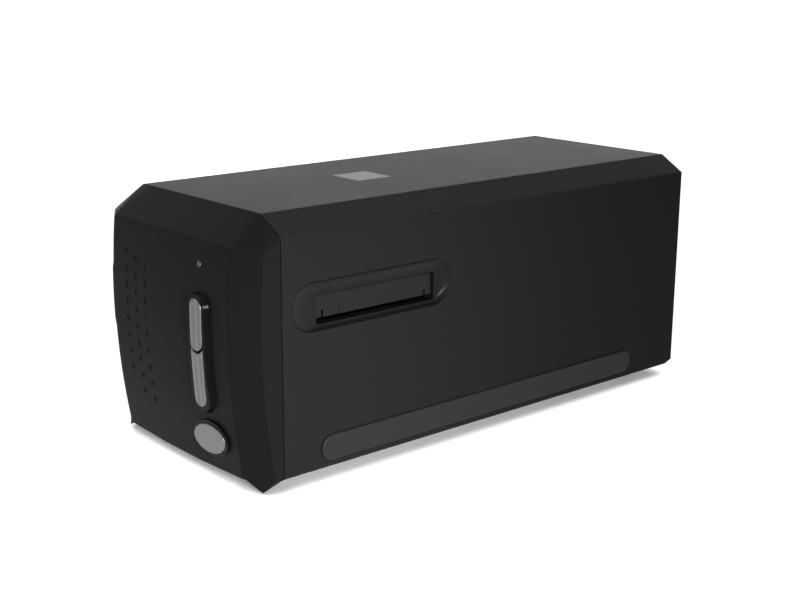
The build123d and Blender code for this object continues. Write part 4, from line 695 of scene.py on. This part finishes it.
@dataclass(frozen=True)
class Studio:
    """White sweep and soft lamps around the scanner.

    The floor's contact shadow shows where less than shadow_open of the sky is free above it,
    within shadow_reach metres, and is at its darkest below shadow_shut.
    """

    floor_size: float = 12.0
    floor_colour: str = "#e6e6e6"
    floor_glow: float = 0.95
    shaded_glow: float = 0.16
    world_level: float = 0.1
    shadow_reach: float = 0.012
    shadow_shut: float = 0.44
    shadow_open: float = 0.52
    lamps: tuple[Softbox, ...] = (
        Softbox("overhead_softbox", (0.3, -0.1, 1.3), (0.0, 0.0, 0.05), 1.0, 1.0, 1.8),
        Softbox("far_left_softbox", (-1.4, 1.3, 0.45), (0.0, 0.0, 0.119), 1.4, 0.3, 0.2),
        Softbox("right_softbox", (0.9, -0.33, 0.22), (0.06, -0.13, 0.05), 0.2, 0.2, 0.38, 32.0),
        Softbox("left_softbox", (-1.2, 0.8, 0.06), (-0.06, 0.0, 0.06), 0.5, 0.1, 14.0),
    )

    def build(self) -> None:
        """Add the lamps, the floor and the world."""
        for lamp in self.lamps:
            lamp.build()
        self.build_floor()
        self.build_world()
        bpy.context.scene.view_settings.view_transform = "Standard"

    def seen_directly(self, tree: bpy.types.NodeTree) -> bpy.types.NodeSocket:
        """Add nodes that tell rays that see the background from rays that light the scanner.

        Args:
            tree: Node tree that takes the nodes.

        Returns:
            Output that is 1 for rays from the camera, a reflection or glass, and otherwise 0.
        """
        path = add_node(tree, "ShaderNodeLightPath")
        first = add_node(
            tree,
            "ShaderNodeMath",
            {"operation": "MAXIMUM"},
            {0: path.outputs["Is Camera Ray"], 1: path.outputs["Is Glossy Ray"]},
        )
        second = add_node(
            tree,
            "ShaderNodeMath",
            {"operation": "MAXIMUM"},
            {0: first.outputs[0], 1: path.outputs["Is Transmission Ray"]},
        )
        return second.outputs[0]

    def build_floor(self) -> None:
        """Add the floor: matt white card that glows where it is seen, and keeps the shadow."""
        deselect()
        bpy.ops.mesh.primitive_plane_add(size=self.floor_size, location=(0, 0, 0))
        floor = bpy.context.object
        floor.name = "floor"
        material = bpy.data.materials.new("floor_card")
        material.use_nodes = True
        tree = material.node_tree
        tree.nodes.clear()
        card = add_node(tree, "ShaderNodeBsdfDiffuse", inputs={"Color": linear(self.floor_colour)})
        contact = add_node(
            tree, "ShaderNodeAmbientOcclusion", {"samples": 8}, {"Distance": self.shadow_reach}
        )
        level = add_node(
            tree,
            "ShaderNodeMapRange",
            inputs={
                "Value": contact.outputs["AO"],
                "From Min": self.shadow_shut,
                "From Max": self.shadow_open,
                "To Min": self.shaded_glow,
                "To Max": self.floor_glow,
            },
        )
        glow = add_node(tree, "ShaderNodeEmission", inputs={"Strength": level.outputs["Result"]})
        surfaces = {0: card.outputs["BSDF"], 1: glow.outputs["Emission"]}
        both = add_node(tree, "ShaderNodeAddShader", inputs=surfaces)
        mix = add_node(
            tree,
            "ShaderNodeMixShader",
            inputs={
                0: self.seen_directly(tree),
                1: card.outputs["BSDF"],
                2: both.outputs["Shader"],
            },
        )
        add_node(tree, "ShaderNodeOutputMaterial", inputs={"Surface": mix.outputs["Shader"]})
        floor.data.materials.append(material)

    def build_world(self) -> None:
        """Set the world: white where it is seen, and plain grey light on the scanner."""
        world = bpy.data.worlds.new("studio_world")
        bpy.context.scene.world = world
        world.use_nodes = True
        tree = world.node_tree
        tree.nodes.clear()
        light = add_node(tree, "ShaderNodeBackground", inputs={"Strength": self.world_level})
        white = add_node(tree, "ShaderNodeBackground", inputs={"Strength": 1.0})
        for shader in (light, white):
            shader.inputs["Color"].default_value = linear("#ffffff")
        mix = add_node(
            tree,
            "ShaderNodeMixShader",
            inputs={
                0: self.seen_directly(tree),
                1: light.outputs["Background"],
                2: white.outputs["Background"],
            },
        )
        add_node(tree, "ShaderNodeOutputWorld", inputs={"Surface": mix.outputs["Shader"]})


# ------------------------------------------------------------------ sub-assemblies
@dataclass
class Assembly:
    """A sub-assembly: knows the finishes and books its pieces in."""

    finishes: dict[str, bpy.types.Material]

    def book(self, piece: bpy.types.Object, body: str, slot: str, nodes: Iterable[str]) -> None:
        """Dress a piece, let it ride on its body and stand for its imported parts.

        Args:
            piece: Finished piece at the origin.
            body: Body that it rides on.
            slot: Material slot that it takes its finish from.
            nodes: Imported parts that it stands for.
        """
        dress(piece, slot, self.finishes)
        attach(piece, body)
        for node in nodes:
            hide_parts(node)
        LOG.info("piece %s on %s for %s", piece.name, body, ", ".join(nodes))


@dataclass
class Casing(Assembly):
    """Moulded casing: bezel, housing, rear cover and side strips. Sizes are in millimetres."""

    corner_x: float = 46.8
    foot_z: float = 6.5
    facet_depth: float = 7.8
    facet_slope: float = 7.8 / 13.2
    seam_y: float = -120.0
    rear_wall_y: float = 138.0
    rear_y: float = 140.5
    seam_gap: float = 0.4
    dimple_lift: float = 0.38
    arch_drop: float = 1.9
    arch_rise: float = 1.2
    arch_flat: float = 15.0
    front_fold: float = 1.2
    side_fold: float = 0.7
    long_fold: float = 0.45
    rim_round: float = 0.25
    mouth_round: float = 0.3
    rear_round: float = 0.8
    strip_edge: float = 0.35
    strip_middle: tuple[float, float] = (1.75, 15.35)
    strip_size: tuple[float, float] = (203.9, 11.6)
    groove_wide: float = 0.3
    groove_narrow: float = -0.6

    def build(self) -> None:
        """Build and book the casing's pieces."""
        self.build_bezel()
        self.build_housing()
        self.build_rear_cover()
        for side in ("right", "left"):
            piece = soft_copy(f"{side}_side_strip", f"{side}_strip", self.strip_edge)
            self.book(piece, "root", "strip_rubber", [f"{side}_side_strip"])

    def facet(self, x: float, z: float) -> Point:
        """Point on the right corner facet at a distance from the middle and a height."""
        return (x, bow_y(z) + (x - self.corner_x) * self.facet_slope, z)

    def on_outline(self, centre: Vector) -> bool:
        """Tell whether a point lies on the casing's sides, chamfers or top."""
        on_side = abs(abs(centre.x) / MM - SIDE_X) < 0.02
        return on_side or centre.z / MM > TOP_Z - 0.1 or on_chamfer(centre)

    def rim_at(self, *places: float, low: bool = False) -> Test:
        """Make a test for the casing's outer edges at some places along Y.

        Args:
            *places: Places in millimetres.
            low: Whether the lower edge counts too.

        Returns:
            The test.
        """

        def test(centre: Vector, direction: Vector) -> bool:
            """Tell whether an edge lies on the rim."""
            outer = self.on_outline(centre) or (low and centre.z / MM < self.foot_z + 0.1)
            return outer and any(abs(centre.y / MM - place) < 0.01 for place in places)

        return test

    def on_dimple(self, centre: Vector, normal: Vector) -> bool:
        """Tell whether a face is the bottom of one of the bezel's dimples."""
        return normal.y < -0.9 and centre.x < 0 and 0.4 < centre.y / MM - bow_y(centre.z / MM) < 1.0

    def on_front_fold(self, centre: Vector, direction: Vector) -> bool:
        """Tell whether an edge is the fold between the bezel's front and a corner facet."""
        x, y, z = abs(centre.x) / MM, centre.y / MM, centre.z / MM
        near = abs(x - self.corner_x) < 0.4 and abs(y - bow_y(z)) < 0.4
        return near and self.foot_z + 0.5 < z < 107

    def on_side_fold(self, centre: Vector, direction: Vector) -> bool:
        """Tell whether an edge is the fold between a corner facet and the bezel's side."""
        x, y, z = abs(centre.x) / MM, centre.y / MM, centre.z / MM
        near = abs(x - SIDE_X) < 0.05 and abs(y - bow_y(z) - self.facet_depth) < 0.5
        return near and self.foot_z + 0.5 < z < 106

    def on_front_rim(self, centre: Vector, normal: Vector) -> bool:
        """Tell whether a face is the housing's rim at the seam."""
        return abs(centre.y - self.seam_y * MM) < 1e-5

    def on_long_fold(self, centre: Vector, direction: Vector) -> bool:
        """Tell whether an edge is one of the housing's long folds."""
        x, z = abs(centre.x) / MM, centre.z / MM
        at_side = abs(x - SIDE_X) < 0.05 and (z > SHOULDER_Z - 0.1 or z < self.foot_z + 0.1)
        return abs(direction.y) > 0.99 and (at_side or (z > TOP_Z - 0.1 and x > 46))

    def on_mouth(self, centre: Vector, direction: Vector) -> bool:
        """Tell whether an edge is the outer edge of the hole that takes a slot surround."""
        x, y, z = abs(centre.x) / MM, centre.y / MM, centre.z / MM
        return abs(x - SIDE_X) < 0.02 and 60 < z < 100 and -116 < y < -24 and abs(direction.x) < 0.1

    def build_bezel(self) -> None:
        """Build the bezel: rounded folds, shallow dimples and a pointed toe at each corner."""
        shell = clean_copy("front_bezel", "bezel_shell")
        for side in (1, -1):
            self.trim_toe(shell, side)
        choose(shell, self.on_dimple)
        bpy.ops.transform.translate(value=(0, -self.dimple_lift * MM, 0))
        bpy.ops.object.mode_set(mode="OBJECT")
        self.lower_front_edge(shell)
        round_edges(shell, self.on_front_fold, self.front_fold, 4)
        round_edges(shell, self.on_side_fold, self.side_fold, 4)
        round_edges(shell, self.rim_at(self.seam_y), self.rim_round, 2)
        toes = [self.toe(side) for side in (1, -1)]
        deselect()
        for piece in (*toes, shell):
            piece.select_set(True)
        bpy.context.view_layer.objects.active = shell
        bpy.ops.object.join()
        self.book(smooth(shell, 24), "root", "bezel_plastic", ["front_bezel"])

    def lower_front_edge(self, shell: bpy.types.Object) -> None:
        """Bring the front's lower edge down towards the middle, as an arch between the toes.

        Args:
            shell: The bezel.
        """
        mesh = bmesh.new()
        mesh.from_mesh(shell.data)
        for x in (-38, -30, -22, -15, 0, 15, 22, 30, 38):
            slice_mesh(mesh, (x, 0, 0), (1, 0, 0))
        for vertex in mesh.verts:
            x, y, z = (value / MM for value in vertex.co)
            if abs(z - self.foot_z) < 0.02 and y < -127:
                way = (abs(x) - self.arch_flat) / (self.corner_x - self.arch_flat)
                vertex.co.z -= (self.arch_drop - self.arch_rise * max(0.0, min(1.0, way))) * MM
        mesh.to_mesh(shell.data)
        mesh.free()

    def trim_toe(self, shell: bpy.types.Object, side: int) -> None:
        """Cut the plain toe block off one corner of the bezel.

        Args:
            shell: The bezel.
            side: 1 for the right corner, -1 for the left.
        """
        ahead = [(*self.facet(x, z)[:2], z) for z in (0.0, 11.0) for x in (45.8, 61.5)]
        far = [(x, -146.0, z) for z in (0.0, 11.0) for x in (45.8, 61.5)]
        low = (0.0, self.foot_z - 0.005)
        below = [(x, y, z) for x in (46.5, 61.5) for y in (-134.0, -121.5) for z in low]
        for points in (ahead + far, below):
            cut(shell, mirrored(side, points))

    def toe(self, side: int) -> bpy.types.Object:
        """Build the pointed toe under one corner facet.

        Args:
            side: 1 for the right corner, -1 for the left.

        Returns:
            The toe.
        """
        x = SIDE_X - 0.01
        points = [
            self.facet(self.corner_x, self.foot_z),
            (x, -124.3, 8.8),
            (x, -124.5, self.foot_z),
            (55.1, -127.7, 1.0),
            (x, -121.0, self.foot_z),
            (x, -121.0, 8.8),
            (self.corner_x, -124.0, self.foot_z),
            (self.corner_x + 1, -124.0, 8.0),
        ]
        return hull("toe", mirrored(side, points))

    def build_housing(self) -> None:
        """Build the housing: long rounded folds, and a rim that leaves the seam's gap."""
        shell = clean_copy("main_housing", "housing_shell")
        choose(shell, self.on_front_rim)
        bpy.ops.transform.translate(value=(0, self.seam_gap * MM, 0))
        bpy.ops.object.mode_set(mode="OBJECT")
        round_edges(shell, self.on_long_fold, self.long_fold, 3)
        rims = self.rim_at(self.seam_y + self.seam_gap, self.rear_wall_y)
        round_edges(shell, rims, self.rim_round, 2)
        round_edges(shell, self.on_mouth, self.mouth_round, 2)
        self.cut_rear_foot(shell)
        self.cut_strip_grooves(shell)
        self.book(smooth(shell, 24), "root", "housing_plastic", ["main_housing"])

    def cut_rear_foot(self, piece: bpy.types.Object) -> None:
        """Cut the slope under the casing's rear end off a piece."""
        profile = ((134.5, self.foot_z), (142.0, 9.25), (142.0, 0.0), (134.5, 0.0))
        cut(piece, [(x, y, z) for x in (-62.0, 62.0) for y, z in profile])

    def cut_strip_grooves(self, shell: bpy.types.Object) -> None:
        """Cut the fine groove around each side strip.

        Args:
            shell: The housing.
        """
        wide, narrow = self.groove_wide, self.groove_narrow
        inside, outside = SIDE_X - 0.4, SIDE_X + 0.4
        for side in (1, -1):
            rings = []
            for grow, x in ((wide, inside), (wide, outside), (narrow, outside), (narrow, inside)):
                size = (self.strip_size[0] + 2 * grow, self.strip_size[1] + 2 * grow)
                outline = rounded_outline(self.strip_middle, size, size[1] / 2, x)
                rings.append(mirrored(side, outline))
            take_away(shell, loft("groove_cutter", rings))

    def build_rear_cover(self) -> None:
        """Build the rear cover with a rounded outer edge."""
        cover = clean_copy("rear_panel", "rear_cover")
        round_edges(cover, self.rim_at(self.rear_y, low=True), self.rear_round, 4)
        self.cut_rear_foot(cover)
        self.book(smooth(cover, 24), "root", "housing_plastic", ["rear_panel"])


@dataclass
class Controls(Assembly):
    """Buttons, boss and ring on the bezel. Sizes are in millimetres."""

    boss_x: float = 25.9
    cap_half: float = 4.2
    cap_column: float = 0.42
    cap_row: int = 2
    cap_ends: tuple[int, int] = (34, 84)
    cap_ahead: float = 2.3
    crown_drop: float = 0.45
    valley_depth: float = 0.35
    valley_half: float = 1.1
    oval_ahead: float = 1.3
    oval_round: float = 0.9

    def build(self) -> None:
        """Build and book the controls."""
        for node, name in (("button_boss", "boss_frame"), ("power_ring", "power_rim")):
            self.book(smooth(clean_copy(node, name)), "root", "gloss_black", [node])
        for node, name in (("upper_button", "upper_cap"), ("lower_button", "lower_cap")):
            self.book(self.long_cap(node, name), node, "silver_cap", [node])
        self.book(self.oval_cap(), "power_button", "silver_cap", ["power_button"])

    def long_cap(self, node: str, name: str) -> bpy.types.Object:
        """Build a long cap: its front is crowned to the sides and hollowed along its middle.

        Args:
            node: Packed button.
            name: Name of the new piece.

        Returns:
            The cap, at the origin.
        """
        cap = clean_copy(node, name)
        mesh = bmesh.new()
        mesh.from_mesh(cap.data)
        for step in range(-9, 10):
            slice_mesh(mesh, (self.boss_x + step * self.cap_column, 0, 0), (1, 0, 0))
        for height in range(*self.cap_ends, self.cap_row):
            slice_mesh(mesh, (0, 0, height + 0.5), (0, 0, 1))
        for vertex in mesh.verts:
            x, y, z = (value / MM for value in vertex.co)
            if y < bow_y(z, self.cap_ahead):
                across = (x - self.boss_x) / self.cap_half
                dent = self.valley_depth * exp(-(((x - self.boss_x) / self.valley_half) ** 2))
                vertex.co.y += (dent + self.crown_drop * across**4) * MM
        mesh.to_mesh(cap.data)
        mesh.free()
        return smooth(cap, 40)

    def on_oval_rim(self, centre: Vector, direction: Vector) -> bool:
        """Tell whether an edge is the front rim of the oval cap."""
        return centre.y / MM < bow_y(centre.z / MM, self.oval_ahead) and abs(direction.y) < 0.6

    def oval_cap(self) -> bpy.types.Object:
        """Build the power button's oval cap, whose rim falls away in a broad bevel.

        Returns:
            The cap, at the origin.
        """
        cap = clean_copy("power_button", "power_cap")
        round_edges(cap, self.on_oval_rim, self.oval_round, 4)
        return smooth(cap, 40)


@dataclass
class FilmSlots(Assembly):
    """Slot surrounds and dust flaps on both sides. Sizes are in millimetres.

    Each notch in a flap's lower edge is given by its middle along Y, its width, its top above
    the edge, and its depth from the flap's face.
    """

    dish_middle: tuple[float, float] = (-70.0, 79.3)
    dish_size: tuple[float, float] = (88.9, 21.2)
    mouth_middle: tuple[float, float] = (-66.6, 76.9)
    mouth_size: tuple[float, float] = (66.6, 13.2)
    mouth_corner: float = 0.9
    dish_x: float = 59.9
    dish_back_x: float = 59.75
    lip_x: float = 57.0
    flange_x: tuple[float, float] = (56.2, 57.4)
    tube_x: float = 51.6
    tube_wall: float = 2.0
    flange_wide: float = 1.5
    pin_x: float = 54.2
    pin_z: float = 81.85
    flap_half: float = 32.9
    flap_low: float = 72.5
    flap_thick: float = 2.6
    flap_edge: float = 0.6
    flap_bevel: float = 0.18
    notches: tuple[tuple[float, float, float, float], ...] = (
        (-95.6, 1.2, 3.6, 9.0),
        (-37.6, 1.2, 3.0, 9.0),
        (-86.6, 0.35, 3.4, 0.35),
    )

    def build(self) -> None:
        """Build and book the surrounds and flaps."""
        for side, name in ((1, "right"), (-1, "left")):
            dish = self.dish(side, f"{name}_dish")
            self.book(dish, "root", "surround_plastic", [f"{name}_slot_surround"])
            flap = self.flap(side, f"{name}_dust_flap")
            self.book(flap, f"{name}_flap", "flap_plastic", [f"{name}_flap"])

    def dish(self, side: int, name: str) -> bpy.types.Object:
        """Build a surround: a hollow dish that leads to the opening, and a flange behind the wall.

        Args:
            side: 1 for the right side, -1 for the left.
            name: Name of the new piece.

        Returns:
            The surround.
        """
        rim = rounded_outline(self.dish_middle, self.dish_size, self.dish_size[1] / 2, 0)
        mouth = rounded_outline(self.mouth_middle, self.mouth_size, self.mouth_corner, 0)
        rings = []
        for step in range(11):
            t = step / 10
            x = self.dish_x - (self.dish_x - self.lip_x) * sin(t * pi / 2) ** 0.9
            ring = []
            for (_, y0, z0), (_, y1, z1) in zip(rim, mouth):
                ring.append((x, y0 + (y1 - y0) * t, z0 + (z1 - z0) * t))
            rings.append(ring)
        for x in (self.lip_x - 0.2, self.tube_x):
            rings.append([(x, y, z) for _, y, z in mouth])
        tube = tuple(size + 2 * self.tube_wall for size in self.mouth_size)
        corner = self.mouth_corner + self.tube_wall
        for x in (self.tube_x, self.flange_x[0]):
            rings.append(rounded_outline(self.mouth_middle, tube, corner, x))
        flange = tuple(size + 2 * self.flange_wide for size in self.dish_size)
        for x in self.flange_x:
            rings.append(rounded_outline(self.dish_middle, flange, flange[1] / 2, x))
        for x in (self.flange_x[1], self.dish_back_x):
            rings.append([(x, y, z) for _, y, z in rim])
        return smooth(loft(name, [mirrored(side, ring) for ring in rings]), 35)

    def flap(self, side: int, name: str) -> bpy.types.Object:
        """Build a dust flap: a plate under its hinge barrel, with notches in its lower edge.

        Args:
            side: 1 for the right side, -1 for the left.
            name: Name of the new piece.

        Returns:
            The flap.
        """
        radius = self.flap_thick / 2
        front, back = self.pin_x + radius, self.pin_x - radius
        low, edge, bevel = self.flap_low, self.flap_edge, self.flap_bevel
        profile = []
        for step in range(13):
            angle = step * pi / 12
            profile.append((self.pin_x + radius * cos(angle), self.pin_z + radius * sin(angle)))
        profile += [(back, low + edge), (back + edge, low)]
        profile += [(front - edge, low), (front - bevel, low + bevel), (front, low + edge)]
        middle = self.mouth_middle[0]
        ends = (middle - self.flap_half, middle + self.flap_half)
        rings = [[(side * x, y, z) for x, z in profile] for y in ends]
        plate = loft(name, rings, caps=True)
        for place, width, top, deep in self.notches:
            corners = [
                (side * x, place + sy * width / 2, z)
                for x in (front - deep, front + 1)
                for sy in (1, -1)
                for z in (low - 1, low + top)
            ]
            cut(plate, corners)
        return smooth(plate, 30)


def dress_nodes(frame: dict[str, Any], finishes: dict[str, bpy.types.Material]) -> None:
    """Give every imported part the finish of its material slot.

    Args:
        finishes: Materials by slot name.
    """
    for row in frame["record"]["subparts"]:
        node = frame["nodes"][row["node"]]
        if not node.material_slots:
            node.data.materials.append(None)
        for slot in node.material_slots:
            slot.material = finishes[row["material_slot"]]


def main() -> None:
    """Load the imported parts, dress them and build every detailed piece."""
    logging.basicConfig(level=logging.INFO, format="%(name)s: %(message)s")
    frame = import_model()
    FRAME_NODES.update(frame["nodes"])
    PhotoCamera().build()
    Studio().build()
    finishes = {finish.slot: finish.build() for finish in FINISHES}
    dress_nodes(frame, finishes)
    for assembly in (Casing, Controls, FilmSlots):
        assembly(finishes).build()


if __name__ == "__main__":
    main()
